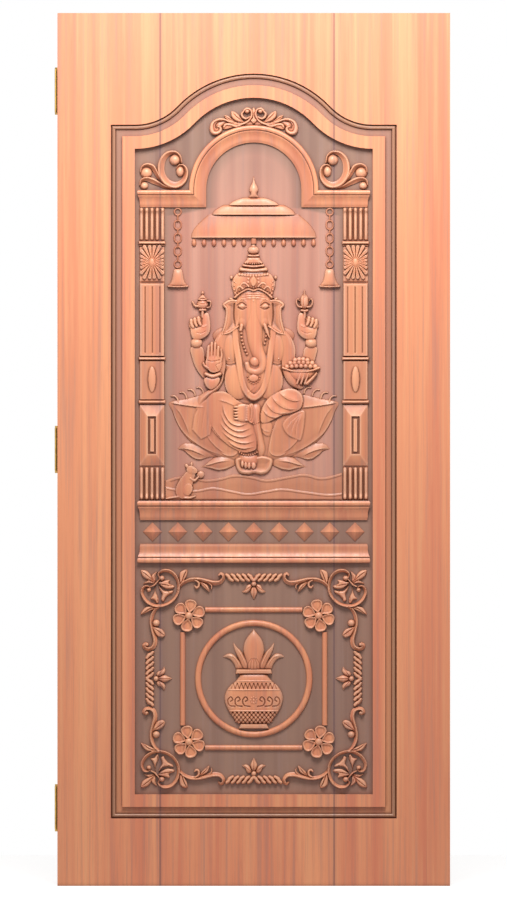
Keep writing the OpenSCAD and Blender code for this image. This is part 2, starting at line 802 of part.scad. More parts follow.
// Figure and lotus are one carving, from the foot of the lotus to the top of the crown
module seated_figure() {
    color(stained) planted() translate([0, figure_base, 0])
        to_size(2 * (niche_hw - seat_gap), figure_top - figure_base, relief) union() {
            lotus_drawing();
            figure_drawing();
        }
}

// Low hills with a mouse, under the lotus
module foreground_drawing() {
    boss([[-88, 0], [88, 0], [88, 26], [66, 23], [48, 26], [20, 20], [-24, 24], [-50, 20], [-88, 18]], 4);
    boss(oval([-68, 16], 13, 11, 10), 8);
    boss(oval([-62, 30], 7, 6, 8), 9);
    strand([[-56, 14], [-54, 26]], [3, 4]);
    strand([[-74, 6], [-84, 5], [-84, 12]], [2, 2, 1]);
}

module foreground() {
    color(stained) planted() translate([0, niche_z + fit, 0])
        to_size(2 * niche_hw - 2 * fit, seat_z - 2 * fit, relief * 0.6) foreground_drawing();
}

// Lower panel

// Scroll for the bottom left corner, on a grid with the corner at zero
module corner_drawing() {
    strand([[29, 10], [36, 3], [50, 5], [61, 19], [62, 36], [51, 54], [37, 62], [21, 62], [7, 51], [3, 38],
        [7, 30], [14, 31]], [2, 3, 3, 3, 3, 2.5, 2], 2, 1.4);
    ball([34, 15], 5, 6);
    ball([14, 37], 4, 5);
    chip([[2, 2], [16, 8], [27, 5], [23, 13], [27, 25], [15, 22], [4, 24], [10, 17]], 6);
    chip([[28, 29], [47, 18], [55, 30], [46, 36], [52, 40], [42, 46], [37, 55], [30, 48], [26, 58],
        [16, 52]], 6);
    chip([[66, 29], [63, 16], [67, 6], [77, 1], [75, 11], [71, 20]], 6);
    chip([[31, 66], [18, 72], [2, 78], [5, 70], [12, 65], [20, 64]], 6);
    strand([[62, 38], [68, 28], [77, 21], [90, 18], [106, 21], [126, 24], [135, 20], [138, 13], [133, 7],
        [129, 10]], [2, 2.5, 2.5, 3, 3, 2.5, 2], 2, 1.4);
    strand([[94, 20], [98, 25], [96, 31], [91, 32], [89, 29]], [2, 2, 2, 2], 2, 1.4);
    chip([[99, 22], [110, 23], [117, 32], [114, 40], [107, 35]], 6);
    strand([[37, 62], [28, 68], [20, 80], [17, 94], [20, 111], [22, 128], [18, 137], [10, 137], [7, 131]],
        [2, 2.5, 2.5, 3, 3, 2.5, 2], 2, 1.4);
    ball([26, 94], 6, 7);
    chip([[20, 100], [36, 103], [40, 116], [34, 119], [27, 116]], 6);
}

// Places a drawing of the bottom left corner in any corner
module in_corner(right, top) {
    planted() translate([0, lower_mid_z, 0]) mirror([right, 0, 0]) mirror([0, top, 0])
        translate([-field_hw, -lower_panel_hh, 0]) children();
}

across_rope_l = rope_part * 2 * field_hw;
upright_rope_l = rope_part * lower_panel_h;
corner_w = field_hw - corner_gap - fit - across_rope_l / 2;
corner_h = lower_panel_hh - corner_gap - fit - upright_rope_l / 2;

module corner_scroll(right, top) {
    color(stained) in_corner(right, top) translate([corner_gap, corner_gap, 0])
        to_size(corner_w, corner_h, relief) corner_drawing();
}

module bottom_left_corner_scroll() {
    corner_scroll(0, 0);
}

module bottom_right_corner_scroll() {
    corner_scroll(1, 0);
}

module top_left_corner_scroll() {
    corner_scroll(0, 1);
}

module top_right_corner_scroll() {
    corner_scroll(1, 1);
}

// Six dished petals round a dome
module flower(right, top) {
    petals = 6;
    turn = 15;
    color(stained) in_corner(right, top) translate([field_hw - flower_x, lower_panel_hh - flower_z, 0])
        to_size(2 * petal_l, 2 * petal_l, relief) {
            for (i = [0:petals - 1]) rotate(90 + turn + i * 360 / petals)
                dish([[7, 0], [23, -10], [37, -6], [37, 6], [23, 10]], 8);
            ball([0, 0], 11, 13);
        }
}

module bottom_left_flower() {
    flower(0, 0);
}

module bottom_right_flower() {
    flower(1, 0);
}

module top_left_flower() {
    flower(0, 1);
}

module top_right_flower() {
    flower(1, 1);
}

// Half-round rod lying along X from -length / 2
module rod(length) {
    intersection() {
        translate([-length / 2, 0, 0]) rotate([0, 90, 0]) cylinder(h = length, r = rod_d / 2, $fn = 32);
        translate([-length, -rod_d, 0]) cube([2 * length, 2 * rod_d, rod_d]);
    }
}

across_l = 2 * (flower_x - petal_l - fit);
upright_l = 2 * (flower_z - petal_l - fit);

module top_rod() {
    color(stained) planted() translate([0, lower_mid_z + rod_z, 0]) rod(across_l);
}

module bottom_rod() {
    color(stained) planted() translate([0, lower_mid_z - rod_z, 0]) rod(across_l);
}

module left_rod() {
    color(stained) planted() translate([-rod_x, lower_mid_z, 0]) rotate(90) rod(upright_l);
}

module right_rod() {
    color(stained) planted() translate([rod_x, lower_mid_z, 0]) rotate(90) rod(upright_l);
}

// Twisted bar whose twist turns over in the middle, with a three-petalled drop in the room beside it
module rope(length, room) {
    lobes = 4;
    drop_l = 0.4 * room;
    step = length / 2 / lobes;
    to_size(length, rope_w + drop_l, relief * 0.8) union() {
        for (side = [-1, 1], i = [0:lobes - 1])
            mirrored(side > 0) translate([-(i + 0.5) * step, 0, 0])
                chip([[-step * 0.8, -9], [-step * 0.1, -9], [step * 0.8, 9], [step * 0.1, 9]], 8);
        ball([0, 16], 6, 7);
        chip([[0, 20], [7, 34], [0, 53], [-7, 34]], 7);
        for (side = [-1, 1]) mirrored(side > 0) chip([[5, 19], [18, 18], [26, 32], [14, 28]], 7);
    }
}

rope_inset = corner_gap + rope_w / 2 + 3;

module bottom_rope() {
    color(stained) planted() translate([0, field_z + rope_inset, 0])
        rope(across_rope_l, lower_panel_hh - rod_z);
}

module top_rope() {
    color(stained) planted() translate([0, lower_cornice_z - rope_inset, 0]) rotate(180)
        rope(across_rope_l, lower_panel_hh - rod_z);
}

module left_rope() {
    color(stained) planted() translate([rope_inset - field_hw, lower_mid_z, 0]) rotate(-90)
        rope(upright_rope_l, field_hw - rod_x);
}

module right_rope() {
    color(stained) planted() translate([field_hw - rope_inset, lower_mid_z, 0]) rotate(90)
        rope(upright_rope_l, field_hw - rod_x);
}

ring_r = min(rod_x, rod_z) - ring_part * short_side;

module ring() {
    color(stained) planted() translate([0, lower_mid_z, 0]) rotate_extrude($fn = 96)
        translate([ring_r - ring_t / 2, 0]) intersection() {
            circle(d = ring_t, $fn = 32);
            translate([-ring_t, 0]) square(2 * ring_t);
        }
}

pot_h = pot_part * 2 * (ring_r - ring_t);

// Pot with a coconut and leaves, on a grid with the pot's foot at zero
module pot() {
    color(stained) planted() translate([0, lower_mid_z - pot_h / 2, 0])
        to_size(pot_h * 0.61, pot_h, relief) union() {
            turned(0, [[0, 16, 8], [2, 16, 8], [5, 14, 7], [12, 23, 10], [21, 29, 13], [30, 30.5, 14],
                [39, 27, 13], [46, 20, 10], [49, 14, 7], [54, 13, 6], [56, 19, 9], [61, 19, 9]], 8);
            turned(0, [[59, 9, 7], [68, 11, 9], [78, 11, 9], [88, 8, 7], [96, 4, 4], [101, 1, 2]]);
            for (side = [-1, 1]) mirrored(side > 0) {
                boss([[9, 60], [16, 61], [21, 72], [21, 85], [13, 76]], 7);
                boss([[14, 60], [20, 60], [30, 66], [32, 72], [22, 69]], 6);
            }
        }
}

// Hinges

pin_x = -leaf_w / 2 - post_gap / 2;
pin_y = back_y + pin_back;
hinge_z = [hinge_end, leaf_h / 2, leaf_h - hinge_end];
knuckles = 5;
knuckle_h = hinge_h / knuckles;
flap_front = back_y - flap_w;
screw_rows = [-0.36, -0.14, 0.14, 0.36];
screw_fit = 0.1;
shank_r = screw_hole_r - 0.4;
screw_y = [back_y - flap_w * 0.68, back_y - flap_w * 0.36];

module each_hinge() {
    for (z = hinge_z) translate([0, 0, z]) children();
}

// Places a child at each screw of one flap, in two columns; the flaps are staggered so that no heads meet
module each_screw(first_column) {
    for (i = [0:3]) translate([0, screw_y[(i + first_column) % 2], screw_rows[i] * hinge_h]) children();
}

module flap_pocket() {
    translate([-leaf_w / 2 - 1, flap_front, -hinge_h / 2]) cube([flap_t + 1, leaf_t + flap_w, hinge_h]);
}

module screw_pilots() {
    each_screw(1) translate([-leaf_w / 2, 0, 0]) rotate([0, 90, 0])
        cylinder(h = screw_l + 1, r = shank_r + screw_fit, $fn = 32);
}

module barrel(first) {
    for (i = [first:2:knuckles - 1])
        translate([pin_x, pin_y, -hinge_h / 2 + i * knuckle_h + knuckle_gap / 2])
            cylinder(h = knuckle_h - knuckle_gap, r = barrel_r, $fn = 48);
}

module barrel_bore() {
    translate([pin_x, pin_y, -hinge_h]) cylinder(h = 2 * hinge_h, r = pin_r + pin_fit, $fn = 48);
}

// Web from a flap to its own knuckles, cut clear of the other flap's knuckles
module flap_plate(x, first) {
    translate([x, flap_front, -hinge_h / 2]) cube([flap_t, flap_w, hinge_h]);
    for (i = [first:2:knuckles - 1])
        translate([x, back_y - tiny, -hinge_h / 2 + i * knuckle_h + knuckle_gap / 2])
            cube([flap_t, pin_back, knuckle_h - knuckle_gap]);
}

module door_flap(z) {
    color(metal) translate([0, 0, z]) difference() {
        union() {
            flap_plate(-leaf_w / 2, 1);
            barrel(1);
        }
        barrel_bore();
        each_screw(1) translate([-leaf_w / 2 - 1, 0, 0]) rotate([0, 90, 0])
            cylinder(h = flap_t + 2, r = screw_hole_r, $fn = 32);
        each_screw(1) translate([-leaf_w / 2, 0, 0]) rotate([0, 90, 0])
            cylinder(h = screw_head_r - screw_hole_r, r1 = screw_head_r, r2 = screw_hole_r, $fn = 32);
    }
}

module frame_flap(z) {
    x = -leaf_w / 2 - post_gap - flap_t;
    color(metal) translate([0, 0, z]) difference() {
        union() {
            flap_plate(x, 0);
            barrel(0);
        }
        barrel_bore();
        each_screw(0) translate([x - 1, 0, 0]) rotate([0, 90, 0])
            cylinder(h = flap_t + 2, r = screw_hole_r, $fn = 32);
        each_screw(0) translate([x + flap_t, 0, 0]) rotate([0, -90, 0])
            cylinder(h = screw_head_r - screw_hole_r, r1 = screw_head_r, r2 = screw_hole_r, $fn = 32);
    }
}

module hinge_pin(z) {
    head_h = 5;
    color(metal) translate([pin_x, pin_y, z]) {
        translate([0, 0, -hinge_h / 2 - tiny]) cylinder(h = hinge_h + 2 * tiny, r = pin_r, $fn = 48);
        for (side = [0, 1]) mirror([0, 0, side]) translate([0, 0, hinge_h / 2])
            cylinder(h = head_h, r = barrel_r - 0.5, $fn = 48);
    }
}

module bottom_hinge_door_flap() {
    door_flap(hinge_z[0]);
}

module middle_hinge_door_flap() {
    door_flap(hinge_z[1]);
}

module top_hinge_door_flap() {
    door_flap(hinge_z[2]);
}

module bottom_hinge_frame_flap() {
    frame_flap(hinge_z[0]);
}

module middle_hinge_frame_flap() {
    frame_flap(hinge_z[1]);
}

module top_hinge_frame_flap() {
    frame_flap(hinge_z[2]);
}

module bottom_hinge_pin() {
    hinge_pin(hinge_z[0]);
}

module middle_hinge_pin() {
    hinge_pin(hinge_z[1]);
}

module top_hinge_pin() {
    hinge_pin(hinge_z[2]);
}

// Countersunk screws that hold the door flaps
module hinge_screws() {
    color(metal) each_hinge() each_screw(1) translate([-leaf_w / 2, 0, 0]) rotate([0, 90, 0]) {
        cylinder(h = screw_head_r - screw_hole_r, r1 = screw_head_r - screw_fit,
            r2 = screw_hole_r - screw_fit, $fn = 32);
        cylinder(h = screw_l, r = shank_r, $fn = 32);
    }
}

left_board();
centre_board();
right_board();
left_panel_moulding();
right_panel_moulding();
bottom_panel_moulding();
arched_panel_moulding();
arch_moulding();
left_capital_cornice();
right_capital_cornice();
left_spandrel_scroll();
right_spandrel_scroll();
crest();
left_pilaster();
right_pilaster();
left_rosette();
right_rosette();
canopy();
left_chain();
right_chain();
left_bell();
right_bell();
seated_figure();
foreground();
upper_band_cornice();
lower_band_cornice();
diamond_row();
bottom_left_corner_scroll();
bottom_right_corner_scroll();
top_left_corner_scroll();
top_right_corner_scroll();
top_rope();
bottom_rope();
left_rope();
right_rope();
top_rod();
bottom_rod();
left_rod();
right_rod();
bottom_left_flower();
bottom_right_flower();
top_left_flower();
top_right_flower();
ring();
pot();
bottom_hinge_door_flap();
middle_hinge_door_flap();
top_hinge_door_flap();
bottom_hinge_frame_flap();
middle_hinge_frame_flap();
top_hinge_frame_flap();
bottom_hinge_pin();
middle_hinge_pin();
top_hinge_pin();
hinge_screws();
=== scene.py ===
"""Carved temple door: the finished look of the leaf, its carving and its hinges."""
import math

import bmesh
import bpy
import numpy as np
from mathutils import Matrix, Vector


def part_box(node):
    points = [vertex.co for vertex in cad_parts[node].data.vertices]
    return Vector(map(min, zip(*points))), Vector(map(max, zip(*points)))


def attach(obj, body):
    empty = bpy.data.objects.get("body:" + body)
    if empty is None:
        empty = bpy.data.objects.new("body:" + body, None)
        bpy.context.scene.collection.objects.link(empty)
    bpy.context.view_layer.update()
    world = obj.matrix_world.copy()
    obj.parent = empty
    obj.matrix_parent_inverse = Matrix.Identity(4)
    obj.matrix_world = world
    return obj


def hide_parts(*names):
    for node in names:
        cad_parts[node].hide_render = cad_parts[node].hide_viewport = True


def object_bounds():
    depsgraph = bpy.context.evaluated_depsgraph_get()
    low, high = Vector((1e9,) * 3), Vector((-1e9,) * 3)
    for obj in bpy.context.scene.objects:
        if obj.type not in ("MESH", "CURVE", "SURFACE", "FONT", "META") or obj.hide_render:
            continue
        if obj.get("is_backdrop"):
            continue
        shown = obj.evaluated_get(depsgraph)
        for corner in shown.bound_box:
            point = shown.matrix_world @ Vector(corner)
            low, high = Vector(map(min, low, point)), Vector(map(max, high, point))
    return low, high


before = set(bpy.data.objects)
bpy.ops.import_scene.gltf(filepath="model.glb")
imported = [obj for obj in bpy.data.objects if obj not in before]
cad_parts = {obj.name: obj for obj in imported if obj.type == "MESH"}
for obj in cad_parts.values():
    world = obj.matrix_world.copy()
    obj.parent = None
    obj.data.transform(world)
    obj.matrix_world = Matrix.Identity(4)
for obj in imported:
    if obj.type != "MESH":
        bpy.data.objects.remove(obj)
CAD_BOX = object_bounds()

bl_info = {
    "name": "Carved Temple Door",
    "version": (1, 0, 0),
    "blender": (4, 5, 0),
    "location": "3D View > Sidebar > Temple Door",
    "description": "Dresses a carved door leaf: boards, mouldings, relief carving and brass hinges",
    "category": "Object",
}

MM = 0.001
# The unit that most of the carvings are drawn in
UNIT = 2.33 * MM
SIDES = (("left", False), ("right", True))


# Sizes of the leaf that the carving and the stain follow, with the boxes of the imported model

ARCHED_LOW, ARCHED_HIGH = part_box("arched_panel_moulding")
MOULDING_W = 27 * MM
BAND_W = 29 * MM
FIELD_HW = ARCHED_HIGH.x - BAND_W - MOULDING_W
SHOULDER_Z = ARCHED_LOW.z - BAND_W
CROWN_Z = ARCHED_HIGH.z - BAND_W - MOULDING_W
# The crown's share of the two radii of the arched top
CROWN_PART = 0.497
FIELD_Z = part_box("bottom_panel_moulding")[1].z + BAND_W
SEAMS = (-218 * MM, 187 * MM)
FRONT_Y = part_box("left_board")[0].y
FLOOR_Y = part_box("ring")[1].y
ARCH_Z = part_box("left_capital_cornice")[1].z
ARCH_R = -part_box("left_capital_cornice")[1].x
NICHE_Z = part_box("upper_band_cornice")[1].z
NICHE_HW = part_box("foreground")[1].x


def srgb(code):
    """Turn an sRGB hex colour into the linear colour that Blender works in."""
    values = [int(code[i:i + 2], 16) / 255 for i in (1, 3, 5)]
    return [v / 12.92 if v <= 0.04045 else ((v + 0.055) / 1.055) ** 2.4 for v in values]


def rgba(code):
    """The same colour as a node's socket takes it, with nothing seen through it."""
    return (*srgb(code), 1)


def settings():
    """The door's own settings in this scene."""
    return bpy.context.scene.temple_door


def colour_setting(name, description, code):
    """A colour that a user may change."""
    return bpy.props.FloatVectorProperty(name=name, description=description, default=srgb(code), size=3,
                                         subtype="COLOR", min=0, max=1)


def length_setting(name, description, default, low, high):
    """A length that a user may change, given in millimetres."""
    return bpy.props.FloatProperty(name=name, description=description, default=default * MM, min=low * MM,
                                   max=high * MM, unit="LENGTH")


def count_setting(name, description, default, low, high):
    """A number of like things that a user may change."""
    return bpy.props.IntProperty(name=name, description=description, default=default, min=low, max=high)


class DoorSettings(bpy.types.PropertyGroup):
    """Sizes and colours of the door that a user may want to change."""

    wood_light: colour_setting("Light Wood", "Colour of the pale, yellower streaks in the wood", "#FFAD7E")
    wood_dark: colour_setting("Dark Wood", "Colour of the darker, redder streaks in the wood", "#E98D6B")
    # The ground's colour is partly a grey-brown stain and partly painted shade of the sunken ground
    ground_stain_and_shade: colour_setting("Ground Stain", "Colour of the wood in the ground of the panel", "#A27F6E")
    # This colour is also the painted shade in the cuts and in corners that ambient light hardly reaches
    hollow_stain_and_shade: colour_setting("Hollow Stain", "Colour of the stain that stays in the cuts of the carving",
                                 "#6E3C24")
    brass: colour_setting("Brass", "Colour of the hinges and their screws", "#C9A35A")
    grain_width: length_setting("Grain Width", "Width of one streak of the upright grain", 9, 2, 40)
    edge_round: length_setting("Edge Round", "Radius that the board edges are sanded to", 1.2, 0.2, 3)
    carving_step: length_setting("Carving Step", "Spacing of the mesh points on the relief carving", 1.3,
                                 0.8, 5)
    diamonds: count_setting("Diamonds", "Diamonds in the row across the middle", 9, 3, 15)
    drops: count_setting("Canopy Drops", "Drops under each half of the canopy", 6, 2, 12)
    petals: count_setting("Rosette Petals", "Petals round each rosette", 20, 8, 32)
    rope_lobes: count_setting("Rope Lobes", "Turns in each half of a rope bar", 5, 3, 9)


# Nodes and materials

def add_node(tree, kind, links=None, **options):
    """Add a node, set its options, and fill its inputs with values or other nodes' sockets."""
    node = tree.nodes.new(kind)
    for key, value in options.items():
        setattr(node, key, value)
    for key, value in (links or {}).items():
        if isinstance(value, bpy.types.NodeSocket):
            tree.links.new(value, node.inputs[key])
        else:
            node.inputs[key].default_value = value
    return node


def new_material(name, roughness, **constants):
    """A material with one Principled shader, whose even values are set on its own sockets."""
    material = bpy.data.materials.new(name)
    material.use_nodes = True
    tree = material.node_tree
    shader = next(n for n in tree.nodes if n.type == "BSDF_PRINCIPLED")
    shader.inputs["Roughness"].default_value = roughness
    for key, value in constants.items():
        shader.inputs[key.replace("_", " ")].default_value = value
    return material, tree, shader


def oiled_hardwood(name, stain_and_shade, top, floor, share, seam, ground=False, channel_grey=0.0):
    """Hardwood, oiled: soft upright grain, dark board joints, and painted shade with some stain in the
    hollows.

    A darker colour sets in from the depth called top to the one called floor, and in the cuts of the carving,
    while its crests get a painted highlight. On the boards only the sunken ground of the panel takes it,
    partly as a stain and partly as painted shade; on the carving and the mouldings it is painted shade, and
    in the cuts painted shade with some stain. Share, seam and channel_grey say how strongly the darker
    colour, the board joints and the grey of the moulding's channel show.
    """
    s = settings()
    material, tree, shader = new_material(name, 0.4, Specular_IOR_Level=0.5)
    place = add_node(tree, "ShaderNodeTexCoord").outputs["Object"]
    axes = add_node(tree, "ShaderNodeSeparateXYZ", {0: place}).outputs

    def maths(operation, a, b=0.0):
        return add_node(tree, "ShaderNodeMath", {0: a, 1: b}, operation=operation).outputs[0]

    def mix(share, a, b):
        return add_node(tree, "ShaderNodeMix", {0: share, 6: a, 7: b}, data_type="RGBA").outputs[2]

    def remap(value, low, high, start=0.0, end=1.0):
        return add_node(tree, "ShaderNodeMapRange", {0: value, 1: low, 2: high, 3: start, 4: end}).outputs[0]

    # Each board is its own plank, so its grain starts somewhere else
    plank = maths("ADD", *[maths("GREATER_THAN", axes["X"], x) for x in SEAMS])
    offset = add_node(tree, "ShaderNodeVectorMath", {0: (1.37, 0.41, 0.83), "Scale": plank},
                      operation="SCALE").outputs[0]
    moved = add_node(tree, "ShaderNodeVectorMath", {0: place, 1: offset}, operation="ADD").outputs[0]

    def streaks(across, along, detail):
        """Noise drawn out along the trunk, with one streak about as wide and long as given."""
        scaled = add_node(tree, "ShaderNodeMapping",
                          {0: moved, "Scale": (1 / across, 1 / across, 1 / along)})
        return add_node(tree, "ShaderNodeTexNoise", {0: scaled.outputs[0], "Scale": 1, "Detail": detail,
                                                     "Roughness": 0.5}).outputs["Fac"]

    bands = streaks(34 * MM, 1.6, 2)
    grain = streaks(s.grain_width, 0.5, 3)
    flecks = streaks(4 * MM, 0.25, 2)
    streak = streaks(9 * MM, 0.45, 3)
    # Pores are finer than a pixel of the render, so they are drawn about three times too wide
    pores = streaks(1.6 * MM, 45 * MM, 1)

    wood = mix(remap(bands, 0.3, 0.7), (*s.wood_dark, 1), (*s.wood_light, 1))
    for noise, low, high, strength, colour in ((grain, 0.5, 0.74, 0.34, "#D97F62"),
                                               (flecks, 0.58, 0.78, 0.34, "#BC7E70"),
                                               (pores, 0.6, 0.78, 0.14, "#9C5636"),
                                               (streak, 0.46, 0.3, 0.26, "#FFC690")):
        wood = mix(remap(noise, low, high, 0, strength), wood, rgba(colour))

    depth = add_node(tree, "ShaderNodeMapRange", {0: axes["Y"], 1: top, 2: floor},
                     interpolation_type="SMOOTHSTEP").outputs[0]
    # Painted shade, and on the boards' ground partly a stain: darker the deeper the surface lies
    stain_and_shade_share = maths("MULTIPLY", depth, share)
    if ground:
        across = maths("ABSOLUTE", axes["X"])
        for value, test, limit in ((axes["Y"], "LESS_THAN", FLOOR_Y + 0.5 * MM),
                                   (across, "LESS_THAN", FIELD_HW + 0.5 * MM),
                                   (axes["Z"], "GREATER_THAN", FIELD_Z - 0.5 * MM),
                                   (axes["Z"], "LESS_THAN", CROWN_Z + 0.5 * MM)):
            stain_and_shade_share = maths("MULTIPLY", stain_and_shade_share, maths(test, value, limit))
        # The open ground of the niche is painted paler, with less of the painted shade
        rise = maths("MAXIMUM", maths("SUBTRACT", axes["Z"], ARCH_Z), 0)
        away = maths("SQRT", maths("ADD", maths("MULTIPLY", across, across), maths("MULTIPLY", rise, rise)))
        edge = remap(axes["Z"], ARCH_Z - 60 * MM, ARCH_Z - 40 * MM, NICHE_HW, ARCH_R)
        niche = maths("MULTIPLY", remap(maths("SUBTRACT", edge, away), 0, 30 * MM),
                      maths("GREATER_THAN", axes["Z"], NICHE_Z))
        niche = maths("MULTIPLY", niche, remap(axes["Z"], ARCH_Z - 0.1, ARCH_Z + 0.06, 1, 0.5))
        stain_and_shade_share = maths("MULTIPLY", stain_and_shade_share, remap(niche, 0, 1, 1, 0.66))
        # The ground turns darker and greyer towards the arched top
        stain_and_shade = mix(remap(axes["Z"], ARCH_Z - 0.1, ARCH_Z + 0.2, 0, 0.34), (*stain_and_shade, 1), rgba("#7A6A5E"))
        stain_and_shade = mix(niche, stain_and_shade, rgba("#C09890"))
    else:
        stain_and_shade = (*stain_and_shade, 1)
    wood = mix(stain_and_shade_share, wood, mix(remap(bands, 0.65, 0.35, 0, 0.4), stain_and_shade, rgba("#6E5048")))

    if channel_grey:
        # The channel of the moulding is greyed, most of all towards the top
        low = remap(axes["Y"], FRONT_Y + 4 * MM, FRONT_Y + 5 * MM)
        low = maths("MULTIPLY", low, remap(axes["Z"], 0.9, SHOULDER_Z, 0, channel_grey))
        wood = mix(low, wood, rgba("#8C7A74"))

    # Greyer streaks run on through the boards and the carving alike
    wood = mix(remap(streak, 0.53, 0.7, 0, 0.32), wood, rgba("#A98A82"))

    # Painted shade and some stain in the cuts of the carving, and a painted highlight on its crests
    stain_and_shading = add_node(tree, "ShaderNodeAttribute", attribute_name="stain_and_shading").outputs["Fac"]
    wood = mix(remap(stain_and_shading, 0.05, 1, 0, 0.85), wood, (*s.hollow_stain_and_shade, 1))
    wood = mix(remap(stain_and_shading, -0.1, -1, 0, 0.4), wood, rgba("#FFD3B2"))
    # Painted shade: corners and creases that ambient light hardly reaches are darkened towards the hollow
    # stain colour
    ambient_reach = add_node(tree, "ShaderNodeAmbientOcclusion", {"Distance": 11 * MM}, samples=6).outputs["AO"]
    wood = mix(remap(ambient_reach, 0.3, 0.88, 0.7, 0), wood, (*s.hollow_stain_and_shade, 1))

    # Dark lines where two boards meet, each with a faint shade beside it
    for joint in SEAMS:
        away = maths("ABSOLUTE", maths("SUBTRACT", axes["X"], joint))
        wood = mix(remap(away, 1 * MM, 8 * MM, 0.3 * seam, 0), wood, rgba("#8A6A6C"))
        wood = mix(remap(away, 0.8 * MM, 2.6 * MM, 0.56 * seam, 0), wood, rgba("#5E4248"))
    tree.links.new(wood, shader.inputs["Base Color"])

    tree.links.new(remap(grain, 0.3, 0.7, 0.33, 0.46), shader.inputs["Roughness"])
    bump = add_node(tree, "ShaderNodeBump", {"Height": maths("ADD", pores, grain), "Strength": 0.1,
                                             "Distance": 0.5 * MM})
    tree.links.new(bump.outputs[0], shader.inputs["Normal"])
    return material


def planed_wood():
    """The boards: planed smooth, with a grey-brown stain and painted shade on the sunken ground of the panel.
    """
    return oiled_hardwood("planed_oiled_hardwood", settings().ground_stain_and_shade, top=FLOOR_Y - 3.5 * MM,
                          floor=FLOOR_Y - 0.2 * MM, share=0.96, seam=1.0, ground=True)


def carved_wood():
    """The carving: cut with gouges, pale on top and browner towards the ground with painted shade."""
    return oiled_hardwood("gouge_carved_oiled_hardwood", srgb("#B4765C"), top=FRONT_Y + 0.5 * MM,
                          floor=FLOOR_Y - 1 * MM, share=0.62, seam=0.5)


def foot_shaded_wood():
    """The carving round the lower panel: only near its foot, beside the ground, is it browned with painted
    shade.
    """
    return oiled_hardwood("foot_shaded_oiled_hardwood", srgb("#B4765C"), top=FLOOR_Y - 7 * MM,
                          floor=FLOOR_Y - 1 * MM, share=0.55, seam=0.5)


def moulded_wood():
    """The panel moulding: run with a plane, and browner than the boards with painted shade, most of all on
    its bead.
    """
    return oiled_hardwood("moulded_oiled_hardwood", srgb("#8A6248"), top=FRONT_Y + 13 * MM,
                          floor=FRONT_Y, share=0.82, seam=0.8, channel_grey=0.55)


def aged_brass():
    """Drawn brass, satin and lightly aged: a warm metal with brown tarnish and fine draw lines."""
    s = settings()
    material, tree, shader = new_material("drawn_satin_brass", 0.34, Metallic=1.0)
    place = add_node(tree, "ShaderNodeTexCoord").outputs["Object"]
    patches = add_node(tree, "ShaderNodeTexNoise",
                       {0: place, "Scale": 1 / (9 * MM), "Detail": 4}).outputs["Fac"]
    tarnish = add_node(tree, "ShaderNodeMapRange", {0: patches, 1: 0.42, 2: 0.75, 3: 0, 4: 0.7}).outputs[0]
    colour = add_node(tree, "ShaderNodeMix", {0: tarnish, 6: (*s.brass, 1), 7: rgba("#8A6432")},
                      data_type="RGBA").outputs[2]
    tree.links.new(colour, shader.inputs["Base Color"])
    # Draw lines are drawn 0.6 mm apart, since real ones would not show
    lines = add_node(tree, "ShaderNodeMapping", {0: place, "Scale": (1 / (0.6 * MM), 1 / (0.6 * MM), 25)})
    brushed = add_node(tree, "ShaderNodeTexNoise",
                       {0: lines.outputs[0], "Scale": 1, "Detail": 2}).outputs["Fac"]
    rough = add_node(tree, "ShaderNodeMapRange", {0: brushed, 3: 0.26, 4: 0.46}).outputs[0]
    tree.links.new(rough, shader.inputs["Roughness"])
    bump = add_node(tree, "ShaderNodeBump", {"Height": brushed, "Strength": 0.1, "Distance": 0.2 * MM})
    tree.links.new(bump.outputs[0], shader.inputs["Normal"])
    return material


FINISHES = {"boards": planed_wood, "wood": carved_wood, "foot_shaded": foot_shaded_wood, "moulding": moulded_wood,
            "brass": aged_brass}


def finish(name):
    """The shared material of that name, made on its first use."""
    made = bpy.context.scene.get("finish_" + name)
    if made is None:
        made = FINISHES[name]().name
        bpy.context.scene["finish_" + name] = made
    return bpy.data.materials[made]


# Meshes

def paint(obj, look):
    """Give an object one of the finishes, in place of what it had."""
    obj.data.materials.clear()
    obj.data.materials.append(finish(look))


def piece(name, mesh, node, look="wood"):
    """Make a finished piece of a mesh: it rides on the leaf and stands for the solid of its node."""
    obj = bpy.data.objects.new(name, mesh)
    bpy.context.scene.collection.objects.link(obj)
    paint(obj, look)
    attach(obj, "leaf")
    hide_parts(node)


def to_mesh(name, points, faces, crease=40):
    """A mesh of points and faces, smooth apart from edges sharper than the crease angle."""
    mesh = bpy.data.meshes.new(name)
    mesh.from_pydata([tuple(p) for p in points], [], [tuple(f) for f in faces])
    mesh.validate()
    mesh.shade_smooth()
    mesh.set_sharp_from_angle(angle=math.radians(crease))
    return mesh


def loft(rows, closed=True):
    """Points and faces of a skin over rows of points, capped at both ends where its section is closed."""
    rows = np.asarray(rows, float)
    count, length = rows.shape[:2]
    faces = []
    for i in range(count if closed else count - 1):
        for k in range(length - 1):
            a = i * length + k
            b = (i + 1) % count * length + k
            faces.append((a, a + 1, b + 1, b))
    if closed:
        faces.append([i * length for i in range(count)])
        faces.append([i * length + length - 1 for i in reversed(range(count))])
    return rows.reshape(-1, 3), faces


def outward(mesh):
    """Merge doubles and turn every face outwards."""
    bm = bmesh.new()
    bm.from_mesh(mesh)
    bmesh.ops.remove_doubles(bm, verts=bm.verts, dist=1e-6)
    bmesh.ops.recalc_face_normals(bm, faces=bm.faces)
    bm.to_mesh(mesh)
    bm.free()
    return mesh


